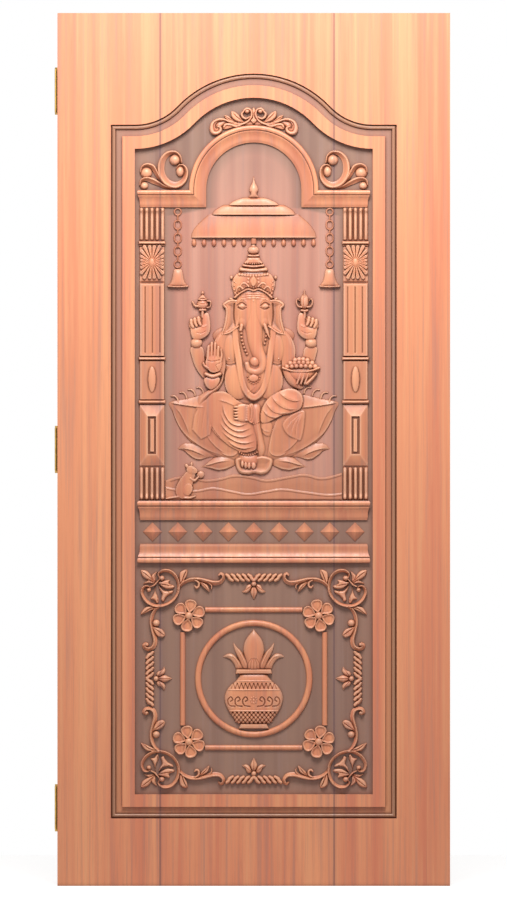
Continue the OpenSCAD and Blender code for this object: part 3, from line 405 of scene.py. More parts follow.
def spline(points, step, closed=False):
    """A smooth curve through the points, as points about a step apart."""
    p = np.asarray(points, float)
    if closed:
        p = np.vstack([p[-1:], p, p[:2]])
    else:
        p = np.vstack([2 * p[:1] - p[1:2], p, 2 * p[-1:] - p[-2:-1]])
    curve = []
    for a, b, c, d in zip(p, p[1:], p[2:], p[3:]):
        count = max(2, int(np.linalg.norm(c[:2] - b[:2]) / step) + 1)
        t = np.linspace(0, 1, count, endpoint=False)[:, None]
        curve.append(0.5 * (2 * b + (c - a) * t + (2 * a - 5 * b + 4 * c - d) * t ** 2
                            + (3 * b - a - 3 * c + d) * t ** 3))
    if not closed:
        curve.append(p[-2:-1])
    return np.vstack(curve)


# Cross sections of a carved strand, from -1 on its right edge to 1 on its left edge

def half_round(s):
    """Half a circle."""
    return np.sqrt(np.clip(1 - s * s, 0, 1))


def ridged(s):
    """Two slopes that meet in a soft crest."""
    return 1 - np.sqrt(s * s + 0.03) * 0.86


def flat_band(s):
    """Flat, with rounded edges."""
    return np.sqrt(np.clip(1 - s ** 6, 0, 1))


def left_crest(s):
    """A crest near the left edge, and a hollow flank down to the right edge."""
    flank = 0.3 + 0.7 * np.clip((s + 1) / 1.4, 0, 1) ** 1.7
    round_over = np.sqrt(np.clip(1 - (np.clip(s - 0.4, 0, 0.6) / 0.6) ** 2, 0, 1))
    return np.where(s > 0.4, round_over, flank)


def right_crest(s):
    """The same with its crest near the right edge."""
    return left_crest(-s)


# Cells along the side of a block that the flat back of a carving is made up of
BACK_BLOCK = 8
# Rounds of smoothing that a cushion is blown up by
SWELL_ROUNDS = 420


class Relief:
    """A carving drawn as heights over a sheet, then cut out along its own outline.

    Points run right and down the sheet, and heights are parts of the carving's full depth. Each stroke is
    laid over the others, and the higher one shows.
    """

    def __init__(self, width, height, step):
        edge = 4 * step
        self.step = step
        self.across = np.arange(-edge, width + edge, step)
        self.down = np.arange(-edge, height + edge, step)
        self.x, self.y = np.meshgrid(self.across, self.down)
        self.tall = np.zeros(self.x.shape)
        self.inside = np.full(self.x.shape, -9.0 * step)
        self.sheet()

    def sheet(self, unit=1.0, left=0.0, top=0.0):
        """Later points are in these units, from this corner."""
        self.unit, self.left, self.top, self.axis = unit, left, top, None

    def mirrored(self, axis):
        """Yield twice, for strokes on the sheet as it is and for the same strokes mirrored about the axis."""
        for turn in (None, axis):
            self.axis = turn
            yield
        self.axis = None

    def points(self, points):
        """Where points of the present sheet lie on the whole drawing."""
        p = np.asarray(points, float)
        x = p[:, 0] if self.axis is None else 2 * self.axis - p[:, 0]
        return np.stack([self.left + self.unit * x, self.top + self.unit * p[:, 1]], 1)

    def window(self, low, high):
        """The part of the sheet that a stroke can reach."""
        i0, i1 = np.searchsorted(self.down, (low[1] - 3 * self.step, high[1] + 3 * self.step))
        k0, k1 = np.searchsorted(self.across, (low[0] - 3 * self.step, high[0] + 3 * self.step))
        return np.s_[i0:i1, k0:k1]

    def lay(self, part, depth, height):
        """Lay a stroke whose outline is where its depth is zero."""
        covered = np.clip(0.5 + depth / self.step, 0, 1)
        self.tall[part] = np.maximum(self.tall[part], height * covered)
        self.inside[part] = np.maximum(self.inside[part], depth)

    def nearest(self, path, values, part):
        """Distance to a path, the side of it, and the values along it at the nearest point."""
        x, y = self.x[part], self.y[part]
        best = np.full(x.shape, 1e9)
        side = np.zeros(x.shape)
        found = [np.zeros(x.shape) for _ in range(values.shape[1])]
        for a, b, va, vb in zip(path, path[1:], values, values[1:]):
            d = b - a
            t = np.clip(((x - a[0]) * d[0] + (y - a[1]) * d[1]) / max(d @ d, 1e-12), 0, 1)
            ex, ey = x - a[0] - t * d[0], y - a[1] - t * d[1]
            away = ex * ex + ey * ey
            closer = away < best
            best = np.where(closer, away, best)
            side = np.where(closer, np.sign(ex * d[1] - ey * d[0]), side)
            for k, f in enumerate(found):
                found[k] = np.where(closer, va[k] + t * (vb[k] - va[k]), f)
        return np.sqrt(best), side, found

    def strand(self, path, widths, height=1.0, section=half_round, lift=0.0):
        """A strand along a path, whose widths and heights are spread evenly over its points."""
        p = self.points(path)
        spread = np.linspace(0, 1, len(p))
        w = np.interp(spread, np.linspace(0, 1, len(np.atleast_1d(widths))), np.atleast_1d(widths))
        h = np.interp(spread, np.linspace(0, 1, len(np.atleast_1d(height))), np.atleast_1d(height))
        curve = spline(np.column_stack([p, w * self.unit / 2, h]), 2 * self.step)
        reach = curve[:, 2].max()
        part = self.window(curve[:, :2].min(0) - reach, curve[:, :2].max(0) + reach)
        away, side, (half, tall) = self.nearest(curve[:, :2], curve[:, 2:], part)
        side = side if self.axis is None else -side
        across = np.clip(away / np.maximum(half, 1e-6), 0, 1) * side
        self.lay(part, half - away, lift + (tall - lift) * section(across))

    def blob(self, centre, rx, ry, height=1.0, lift=0.0, turn=0.0):
        """An oval boss."""
        c = self.points([centre])[0]
        rx, ry = rx * self.unit, ry * self.unit
        reach = max(rx, ry)
        part = self.window(c - reach, c + reach)
        a = math.radians(turn if self.axis is None else -turn)
        x, y = self.x[part] - c[0], self.y[part] - c[1]
        u = (x * math.cos(a) + y * math.sin(a)) / rx
        v = (y * math.cos(a) - x * math.sin(a)) / ry
        r = np.sqrt(u * u + v * v)
        self.lay(part, (1 - r) * min(rx, ry), lift + (height - lift) * np.sqrt(np.clip(1 - r * r, 0, 1)))

    def filled(self, outline, smooth):
        """The part of the sheet that an outline covers, and how deep inside the outline each point lies."""
        p = self.points(outline)
        curve = spline(p, 2 * self.step, closed=True) if smooth else p
        part = self.window(curve.min(0), curve.max(0))
        ring = np.vstack([curve, curve[:1]])
        away, _, _ = self.nearest(ring, np.zeros((len(ring), 1)), part)
        x, y = self.x[part], self.y[part]
        within = np.zeros(x.shape, bool)
        for a, b in zip(ring, ring[1:]):
            crossed = (a[1] > y) != (b[1] > y)
            at = a[0] + (y - a[1]) * (b[0] - a[0]) / (b[1] - a[1] if b[1] != a[1] else 1e-9)
            within ^= crossed & (x < at)
        return part, np.where(within, away, -away)

    def shape(self, outline, height=1.0, edge=3.0, lift=0.0, smooth=True, rim=0.0):
        """A filled shape whose edge is rounded over, or raised in a rim with the middle hollowed."""
        part, depth = self.filled(outline, smooth)
        t = np.clip(depth / (edge * self.unit), 0, 1)
        profile = np.sqrt(1 - (1 - t) ** 2)
        if rim:
            inner = np.clip(depth / (edge * self.unit) - 1, 0, 2) / 2
            profile = profile - rim * np.sin(inner * math.pi / 2)
        self.lay(part, depth, lift + (height - lift) * profile)

    def swell(self, outline, height=1.0, lift=0.0, smooth=True):
        """A filled shape blown up like a cushion: steep at its edge, evenly rounded further in."""
        part, depth = self.filled(outline, smooth)
        rise = np.zeros(depth.shape)
        inside = depth[1:-1, 1:-1] > 0
        for _ in range(SWELL_ROUNDS):
            mean = (rise[:-2, 1:-1] + rise[2:, 1:-1] + rise[1:-1, :-2] + rise[1:-1, 2:]) / 4
            rise[1:-1, 1:-1] = np.where(inside, mean + 1, 0)
        self.lay(part, depth, lift + (height - lift) * np.sqrt(rise / rise.max()))

    def fold(self, path, width, rise, ends=0.25):
        """A soft fold: the surface climbs to the path on its left side and drops at once on its right."""
        p = self.points(path)
        curve = spline(np.column_stack([p, np.linspace(0, 1, len(p))]), 2 * self.step)
        reach = width * self.unit
        part = self.window(curve[:, :2].min(0) - reach, curve[:, :2].max(0) + reach)
        away, side, (run,) = self.nearest(curve[:, :2], curve[:, 2:], part)
        side = side if self.axis is None else -side
        taper = np.clip(np.minimum(run, 1 - run) / ends, 0, 1)
        slope = np.clip(1 - away / reach, 0, 1) ** 1.5 * np.clip(0.5 + side * away / self.step, 0, 1)
        raised = np.minimum(self.tall[part] + rise * taper * slope, 1.0)
        self.tall[part] = np.where(self.inside[part] > 0, raised, self.tall[part])

    def line(self, path, width, depth):
        """A cut along a path, or a raised line where the depth is negative."""
        p = self.points(path)
        curve = spline(p, 2 * self.step)
        reach = width * self.unit
        part = self.window(curve.min(0) - reach, curve.max(0) + reach)
        away, _, _ = self.nearest(curve, np.zeros((len(curve), 1)), part)
        cut = depth * np.clip(1 - (2 * away / reach) ** 2, 0, 1)
        self.tall[part] = np.where(self.inside[part] > 0, np.maximum(self.tall[part] - cut, 0.03),
                                   self.tall[part])

    def beads(self, path, count, radius, height=1.0, lift=0.0):
        """Beads evenly spaced on a path."""
        curve = spline(np.asarray(path, float), 0.2)
        run = np.concatenate([[0], np.cumsum(np.linalg.norm(np.diff(curve, axis=0), axis=1))])
        for at in np.linspace(0, run[-1], count):
            centre = [np.interp(at, run, curve[:, k]) for k in (0, 1)]
            self.blob(centre, radius, radius, height, lift)

    def cut_out(self, name, box, flip_x=False, flip_z=False):
        """Mesh of the carving, filling the box, with its face to the front and a flat closed back."""
        keep = self.inside > 0
        cells = keep[:-1, :-1] | keep[:-1, 1:] | keep[1:, :-1] | keep[1:, 1:]
        used = np.zeros(keep.shape, bool)
        for rows in (np.s_[:-1], np.s_[1:]):
            for columns in (np.s_[:-1], np.s_[1:]):
                used[rows, columns] |= cells
        slope_y, slope_x = np.gradient(self.inside, self.step)
        steep = np.maximum(slope_x ** 2 + slope_y ** 2, 0.3)
        outside = used & ~keep
        pull = np.where(outside, np.clip(-self.inside, 0, 1.4 * self.step) / steep, 0)
        x, y = self.x + pull * slope_x, self.y + pull * slope_y
        tall = np.where(keep, np.maximum(self.tall, 0.02), 0)
        number = np.full(keep.shape, -1)
        number[used] = np.arange(used.sum())
        x, y, tall = x[used], y[used], tall[used]
        x = (x - x.min()) / (x.max() - x.min())
        y = (y - y.min()) / (y.max() - y.min())
        low, high = box
        points = np.stack([low.x + (1 - x if flip_x else x) * (high.x - low.x),
                           high.y - tall / tall.max() * (high.y - low.y),
                           low.z + (y if flip_z else 1 - y) * (high.z - low.z)], 1)
        corners = [number[:-1, :-1], number[1:, :-1], number[1:, 1:], number[:-1, 1:]]
        quads = np.stack([c[cells] for c in corners], 1)
        if flip_x != flip_z:
            quads = quads[:, ::-1]
        # The back repeats the face on the floor plane, and shares the points of the outline with it
        rim = tall == 0
        behind = np.where(rim, np.arange(len(points)), len(points) + np.cumsum(~rim) - 1)
        back = points[~rim] * (1, 0, 1) + (0, high.y, 0)
        mesh = bpy.data.meshes.new(name)
        faces = np.vstack([quads, behind[quads][:, ::-1]])
        mesh.from_pydata(np.vstack([points, back]).tolist(), [], faces.tolist())
        flat = np.repeat([False, True], len(quads))
        mesh.attributes.new("sharp_face", "BOOLEAN", "FACE").data.foreach_set("value", flat)
        # This value carries painted shade with some stain in the cuts, and a painted highlight on the crests,
        # to the material
        stain_and_shading = np.concatenate([self.stain_and_shading(high.y - low.y, (high.x - low.x) / np.ptp(self.x[used]))[used],
                                 np.zeros(len(back))])
        mesh.attributes.new("stain_and_shading", "FLOAT", "POINT").data.foreach_set("value", stain_and_shading)
        places = np.argwhere(used)
        self.plain_back(mesh, np.vstack([places, places[~rim]]), len(points), len(quads))
        return mesh

    def plain_back(self, mesh, places, face_points, face_quads):
        """Join the flat faces behind the carving, block by block, since that side lies on the boards."""
        work = bmesh.new()
        work.from_mesh(mesh)
        work.faces.ensure_lookup_table()
        work.verts.ensure_lookup_table()
        for f in work.faces[face_quads:]:
            f.tag = True
        edges = []
        for e in work.edges:
            if all(f.tag for f in e.link_faces):
                a, b = (places[v.index] for v in e.verts)
                if not any(a[k] == b[k] and a[k] % BACK_BLOCK == 0 for k in (0, 1)):
                    edges.append(e)
        bmesh.ops.dissolve_limit(work, angle_limit=math.radians(1), verts=work.verts[face_points:],
                                 edges=edges)
        work.to_mesh(mesh)
        work.free()

    def stain_and_shading(self, deep, unit):
        """How far each point lies under its surroundings, near and wide: -1 on a crest, 1 in a cut. The
        material turns it into painted shade with some stain in the cuts and a painted highlight on the
        crests.
        """
        tall = self.tall / self.tall.max() * deep
        near = self.mean(tall, 3.2 * MM / unit) - tall
        wide = self.mean(tall, 12 * MM / unit) - tall
        return np.clip(near / (1.5 * MM) + wide / (9 * MM), -1, 1)

    def mean(self, values, reach):
        """The mean of a sheet's values over a square about each point."""
        cells = max(1, round(reach / self.step))
        for axis in (0, 1):
            padded = np.pad(values, [(cells + 1, cells) if k == axis else (0, 0) for k in (0, 1)],
                            mode="edge")
            run = np.cumsum(padded, axis)
            after = np.take(run, range(2 * cells + 1, run.shape[axis]), axis)
            before = np.take(run, range(0, run.shape[axis] - 2 * cells - 1), axis)
            values = (after - before) / (2 * cells + 1)
        return values


def carving(relief, nodes_and_turns, look="wood", drop=0.0):
    """One piece for each node that has this drawing, mirrored where asked and set lower by the drop."""
    for node, flip_x, flip_z in nodes_and_turns:
        name = node + "_carving"
        box = [corner - Vector((0, 0, drop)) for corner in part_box(node)]
        piece(name, relief.cut_out(name, box, flip_x, flip_z), node, look)


def single(node):
    """A drawing's only node, which isn't mirrored."""
    return [(node, False, False)]


def pair(name):
    """The left and right node of that name, the right one mirrored."""
    return [(f"{side}_{name}", right, False) for side, right in SIDES]


def corners(name):
    """The four corner nodes of that name, all drawn as the top left one."""
    return [(f"{level}_{side}_{name}", right, level == "bottom")
            for level in ("top", "bottom") for side, right in SIDES]


def both_sides(mid, half):
    """A closed outline from half widths and heights: down its right side and up its left side."""
    return [(mid + w, y) for w, y in half] + [(mid - w, y) for w, y in reversed(half)]


def sheet_step(unit, share=1.0):
    """Spacing of mesh points on a sheet that is drawn in this unit."""
    return settings().carving_step * share / unit


# Geometry Nodes

def new_tree(name, **inputs):
    """An empty tree that takes a mesh and these named inputs, and the sockets that give them."""
    tree = bpy.data.node_groups.new(name, "GeometryNodeTree")
    for label, kind in {"Geometry": "Geometry", **inputs}.items():
        tree.interface.new_socket(label, in_out="INPUT", socket_type="NodeSocket" + kind)
    tree.interface.new_socket("Geometry", in_out="OUTPUT", socket_type="NodeSocketGeometry")
    return tree, add_node(tree, "NodeGroupInput").outputs


def close_tree(tree, made, material):
    """Realise what the tree has made, set its material and give it out."""
    real = add_node(tree, "GeometryNodeRealizeInstances", {0: made})
    painted = add_node(tree, "GeometryNodeSetMaterial", {"Geometry": real.outputs[0], "Material": material})
    add_node(tree, "NodeGroupOutput", {0: painted.outputs[0]})
    return tree


def row_tree():
    """Copies of the object's own mesh in a row."""
    tree, given = new_tree("row_of_copies", Count="Int", Start="Vector", Step="Vector", Material="Material")
    line = add_node(tree, "GeometryNodeMeshLine", {"Count": given["Count"], "Start Location": given["Start"],
                                                  "Offset": given["Step"]})
    copies = add_node(tree, "GeometryNodeInstanceOnPoints", {"Points": line.outputs[0],
                                                             "Instance": given["Geometry"]})
    return close_tree(tree, copies.outputs[0], given["Material"])


def rail_tree():
    """A half-round rail along a ring or a straight line, lying on the plane of the path."""
    tree, given = new_tree("half_round_rail", Radius="Float", Height="Float", Material="Material")
    path = add_node(tree, "GeometryNodeMeshToCurve", {0: given["Geometry"]})
    normal = add_node(tree, "GeometryNodeSetCurveNormal", {0: path.outputs[0], "Normal": (0, -1, 0)},
                      mode="FREE")
    section = add_node(tree, "GeometryNodeCurveArc", {"Resolution": 17, "Radius": given["Radius"],
                                                     "Start Angle": -math.pi / 2, "Sweep Angle": math.pi,
                                                     "Connect Center": False})
    shut = add_node(tree, "GeometryNodeSetSplineCyclic", {0: section.outputs[0], "Cyclic": True})
    ratio = add_node(tree, "ShaderNodeMath", {0: given["Height"], 1: given["Radius"]}, operation="DIVIDE")
    squeeze = add_node(tree, "ShaderNodeCombineXYZ", {0: ratio.outputs[0], 1: 1.0, 2: 1.0})
    pressed = add_node(tree, "GeometryNodeTransform", {0: shut.outputs[0], "Scale": squeeze.outputs[0]})
    rail = add_node(tree, "GeometryNodeCurveToMesh", {"Curve": normal.outputs[0],
                                                     "Profile Curve": pressed.outputs[0], "Fill Caps": True})
    return close_tree(tree, rail.outputs[0], given["Material"])


TREES = {"row": row_tree, "rail": rail_tree}


def grow(kind, mesh, **inputs):
    """Run a node tree on a mesh and return the plain mesh that it makes."""
    made = bpy.context.scene.get("tree_" + kind)
    if made is None:
        made = TREES[kind]().name
        bpy.context.scene["tree_" + kind] = made
    tree = bpy.data.node_groups[made]
    obj = bpy.data.objects.new("pattern", mesh)
    bpy.context.scene.collection.objects.link(obj)
    modifier = obj.modifiers.new("pattern", "NODES")
    modifier.node_group = tree
    for item in tree.interface.items_tree:
        if item.in_out == "INPUT" and item.name in inputs:
            modifier[item.identifier] = inputs[item.name]
    view = bpy.context.evaluated_depsgraph_get()
    result = bpy.data.meshes.new_from_object(obj.evaluated_get(view), depsgraph=view)
    obj.modifiers.remove(modifier)
    bpy.data.objects.remove(obj)
    return result


def joined(name, meshes):
    """One mesh of several."""
    bm = bmesh.new()
    for mesh in meshes:
        bm.from_mesh(mesh)
    for face in bm.faces:
        face.material_index = 0
    result = bpy.data.meshes.new(name)
    bm.to_mesh(result)
    bm.free()
    return result


# Outlines of the panel and the arch

def ogee(off, steps=28):
    """Points of the panel's arched top, offset outwards, from its left shoulder to its right one."""
    rise = CROWN_Z - SHOULDER_Z
    total = (FIELD_HW ** 2 + rise ** 2) / (2 * rise)
    crown_r = total * CROWN_PART
    flare_r = total - crown_r
    turn = math.asin(FIELD_HW / total)
    left = [(-FIELD_HW + math.sin(a) * (flare_r - off), SHOULDER_Z + flare_r - math.cos(a) * (flare_r - off))
            for a in np.linspace(0, turn, steps)]
    top = [(math.sin(a) * (crown_r + off), CROWN_Z - crown_r + math.cos(a) * (crown_r + off))
           for a in np.linspace(-turn, turn, 2 * steps)]
    half = [(-FIELD_HW - off, SHOULDER_Z + off)] + left
    return half + top[1:-1] + [(-x, z) for x, z in reversed(half)]


def arc(cx, cz, radius, start, end, steps):
    """Points of a circle about a centre, between two angles in degrees."""
    return [(cx + radius * math.cos(a), cz + radius * math.sin(a))
            for a in np.radians(np.linspace(start, end, steps))]


def skin(name, rows, stain_and_shading_values=None):
    """A closed moulding over rows of points, with its faces turned outwards."""
    points, faces = loft(rows)
    mesh = to_mesh(name, points, faces)
    if stain_and_shading_values is not None:
        # Painted shade with some stain in the moulding's hollows, and a painted highlight on its crests
        values = np.repeat(stain_and_shading_values, len(rows[0]))
        mesh.attributes.new("stain_and_shading", "FLOAT", "POINT").data.foreach_set("value", values)
    outward(mesh)
    mesh.shade_smooth()
    mesh.set_sharp_from_angle(angle=math.radians(35))
    return mesh


# The panel moulding's section, from its inner edge outwards, as parts of its width and height: a flat
# channel, a quirk, a bead and a step
PANEL_SECTION = [(0.0, 0.0), (0.0, 0.33), (0.28, 0.31), (0.52, 0.33), (0.55, 0.18), (0.59, 0.18),
                 (0.60, 0.62), (0.64, 0.83), (0.70, 0.95), (0.76, 1.0), (0.82, 0.95), (0.87, 0.83),
                 (0.90, 0.62), (0.91, 0.34), (0.95, 0.30), (0.96, 0.46), (1.0, 0.46), (1.0, 0.0)]

# The cornice's section, from its inner edge outwards: a cyma, a quirk, a bead
CORNICE_SECTION = [(0.0, 0.0), (0.0, 0.34), (0.06, 0.36), (0.10, 0.42), (0.18, 0.46), (0.28, 0.45),
                   (0.38, 0.48), (0.48, 0.56), (0.57, 0.68), (0.63, 0.80), (0.66, 0.86), (0.69, 0.86),
                   (0.70, 0.66), (0.73, 0.66), (0.74, 0.84), (0.78, 0.94), (0.83, 0.99), (0.88, 1.0),
                   (0.93, 0.96), (0.97, 0.86), (0.98, 0.70), (1.0, 0.66), (1.0, 0.0)]


def section_rows(section, box, place):
    """Rows of a moulding: place gives the points, in X and Z, of the row at each part of the width."""
    low, high = box
    rows = []
    for part, tall in section:
        y = high.y - tall * (high.y - low.y)
        rows.append([(x, y, z) for x, z in place(part, tall)])
    return rows


def section_stain_and_shading(section):
    """How far each point of a section lies under the line through the points around it, which the material
    turns into painted shade with some stain in the hollows and a painted highlight on the crests.
    """
    part, tall = np.array(section).T
    return np.clip([3 * (np.interp([p - 0.08, p + 0.08], part[1:-1], tall[1:-1]).mean() - t)
                    for p, t in zip(part, tall)], -1, 1)


class DOOR_OT_boards(bpy.types.Operator):
    """Finish the three boards: sanded edges and oiled wood"""
    bl_idname = "temple_door.boards"
    bl_label = "Boards"

    def execute(self, context):
        for node in ("left_board", "centre_board", "right_board"):
            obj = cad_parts[node]
            paint(obj, "boards")
            obj.modifiers.new("weld", "WELD").merge_threshold = 1e-5
            edge = obj.modifiers.new("sanded", "BEVEL")
            edge.width = settings().edge_round
            edge.segments = 2
            edge.limit_method = "ANGLE"
            edge.angle_limit = math.radians(50)
            edge.harden_normals = True
        return {"FINISHED"}


class DOOR_OT_panel_mouldings(bpy.types.Operator):
    """Run the bead moulding round the panel"""
    bl_idname = "temple_door.panel_mouldings"
    bl_label = "Panel Mouldings"

    def execute(self, context):
        inner = FIELD_HW + BAND_W
        bottom = FIELD_Z - BAND_W

        def side(sign):
            def place(part, tall):
                x = sign * (inner + part * MOULDING_W)
                return [(x, bottom - part * MOULDING_W), (x, SHOULDER_Z + BAND_W + part * MOULDING_W)]
            return place

        def foot(part, tall):
            x, z = inner + part * MOULDING_W, bottom - part * MOULDING_W
            return [(-x, z), (x, z)]

        def crown(part, tall):
            return ogee(BAND_W + part * MOULDING_W)

        runs = {"left_panel_moulding": side(-1), "right_panel_moulding": side(1),
                "bottom_panel_moulding": foot, "arched_panel_moulding": crown}
        for node, place in runs.items():
            rows = section_rows(PANEL_SECTION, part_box(node), place)
            piece(node + "_run", skin(node, rows, section_stain_and_shading(PANEL_SECTION)), node, "moulding")
        return {"FINISHED"}


class DOOR_OT_cornices(bpy.types.Operator):
    """Run the arch and the cornices, with returned ends"""
    bl_idname = "temple_door.cornices"
    bl_label = "Arch And Cornices"

    def execute(self, context):
        low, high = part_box("left_capital_cornice")
        inner, width = -high.x, high.z - low.z
        outer = -low.x
        # How far the returned ends step back from the front of the section to the ground
        back_off = 10 * MM

        def arch(part, tall):
            r = inner + part * width
            foot = low.z + part * width
            return [(-r, foot)] + arc(0, high.z, r, 180, 0, 61) + [(r, foot)]

        def arm(sign):
            def place(part, tall):
                z = low.z + part * width
                return [(sign * (inner + part * width), z), (sign * (outer - (1 - tall) * back_off), z)]
            return place

        def band(node, up):
            foot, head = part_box(node)

            def place(part, tall):
                rise = part * (head.z - foot.z)
                x, z = head.x - (1 - tall) * back_off, foot.z + rise if up else head.z - rise
                return [(-x, z), (x, z)]
            return place

        runs = {"arch_moulding": arch, "left_capital_cornice": arm(-1), "right_capital_cornice": arm(1),
                "upper_band_cornice": band("upper_band_cornice", True),
                "lower_band_cornice": band("lower_band_cornice", False)}
        for node, place in runs.items():
            rows = section_rows(CORNICE_SECTION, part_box(node), place)
            piece(node + "_run", skin(node, rows, section_stain_and_shading(CORNICE_SECTION)), node)
        return {"FINISHED"}


class DOOR_OT_diamonds(bpy.types.Operator):
    """Set the row of diamonds between the two cornices"""
    bl_idname = "temple_door.diamonds"
    bl_label = "Diamonds"

    def execute(self, context):
        low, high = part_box("diamond_row")
        count = settings().diamonds
        # Cut a little larger than the solids, to fill the band
        half_h = (high.z - low.z) / 2 * 1.1
        half_w = half_h * 0.98
        middle = (low.z + high.z) / 2
        tall = high.y - low.y
        rings = []
        for share, rise in ((1.0, 0.0), (1.0, 0.1), (0.95, 0.16), (0.05, 0.98), (0.0, 1.0)):
            wide, up, y = share * half_w, share * half_h, high.y - rise * tall
            rings.append([(wide * math.sin(a), y, middle + up * math.cos(a))
                          for a in np.radians((0, 90, 180, 270, 360))])
        points, faces = loft(rings, closed=False)
        faces.append((0, 1, 2, 3))
        mesh = outward(to_mesh("diamond", points, faces, crease=20))
        mesh.shade_flat()
        inset = 1.2 * half_h
        step = (high.x - low.x - 2 * inset) / (count - 1)
        row = grow("row", mesh, Count=count, Start=(low.x + inset, 0, 0), Step=(step, 0, 0),
                   Material=finish("wood"))
        piece("diamond_row_carving", row, "diamond_row")
        return {"FINISHED"}


class DOOR_OT_pilasters(bpy.types.Operator):
    """Carve the pilasters, with their reeds, beads, panels and flutes"""
    bl_idname = "temple_door.pilasters"
    bl_label = "Pilasters"

    def execute(self, context):
        relief = Relief(27.5, 292, sheet_step(UNIT))
        mid, half = 13.75, 13.0

        def bar(top, bottom, half_w, height, edge=1.0):
            relief.shape([(mid - half_w, top), (mid + half_w, top), (mid + half_w, bottom),
                          (mid - half_w, bottom)], height, edge, smooth=False)

        bar(0, 292, half - 0.4, 0.18)
        # Reeds, bent like a bracket: they roll over at one end and swell again along their length
        bends = ((2.2, 1.0), (3.6, 0.98), (5.4, 0.74), (8, 0.66), (14, 0.76), (22, 0.8), (28, 0.76),
                 (31, 0.6))
        for i in range(5):
            x = mid + (i - 2) * 5.25
            for turn in (lambda y: y, lambda y: 291.8 - y):
                relief.strand([(x, turn(y)) for y, _ in bends], 4.2, [h for _, h in bends])
        for top, height in ((33.6, 0.95), (149, 0.9), (192.2, 0.9)):
            bar(top, top + 3.4, half + 0.7, height, 1.7)
        bar(37, 38.6, half, 0.6)
        bar(38.6, 74, half - 0.4, 0.3)
        bar(75.6, 148.6, half - 0.5, 0.66, 1.0)
        for x in (6.9, 14.1, 21.6):
            relief.line([(x, 79.5), (x, 144.5)], 1.7, 0.13)
        bar(152.6, 192, half - 0.6, 0.5, 1.0)
        relief.blob((mid, 171.4), 4.0, 13.6, 0.9, 0.5)
        self.faceted_block(relief, mid, 227.2, half - 0.4, 30.6)
        carving(relief, pair("pilaster"))
        return {"FINISHED"}

    def faceted_block(self, relief, x, y, half_w, half_h):
        """A long block with four slopes and a sunk slot on its flat top, a bar standing in the slot."""
        top_w, top_h = 4.9, 19.6
        across, along = np.abs(relief.x - x), np.abs(relief.y - y)
        depth = np.minimum(half_w - across, half_h - along)
        climb = np.minimum((half_w - across) / (half_w - top_w), (half_h - along) / (half_h - top_h))
        relief.lay(np.s_[:, :], depth, 0.3 + 0.6 * np.clip(climb, 0, 1))
        slot = (across < top_w - 0.8) & (along < top_h - 0.8)
        bar = (across < 1.9) & (along < top_h - 3.0)
        relief.tall = np.where(slot, np.where(bar, 0.88, 0.58), relief.tall)


class DOOR_OT_rosettes(bpy.types.Operator):
    """Carve the two rosettes, whose petals fill an upright tile"""
    bl_idname = "temple_door.rosettes"
    bl_label = "Rosettes"

    def execute(self, context):
        half_w, half_h = 12.5, 17.5
        relief = Relief(2 * half_w, 2 * half_h, sheet_step(UNIT, 0.6))
        count = settings().petals
        for i in range(count):
            a = 2 * math.pi * (i + 0.5) / count
            reach = min(half_w / abs(math.sin(a)), half_h / abs(math.cos(a)))
            size = min(2 * math.pi * reach / count * 0.92, 4.4)
            path = [(half_w + r * math.sin(a), half_h - r * math.cos(a))
                    for r in (3.4, reach * 0.55, reach - size * 0.36)]
            relief.strand(path, [1.6, size * 0.74, size], [0.86, 0.8, 0.66], lift=0.3)
            # The doubled end carries the cut a little further out
            relief.line(path[1:] + path[-1:], 1.1, 0.12)
        relief.blob((half_w, half_h), 4.5, 5.9, 0.74)
        relief.blob((half_w, half_h), 3.6, 4.9, 1.0, 0.45)
        carving(relief, pair("rosette"))
        return {"FINISHED"}


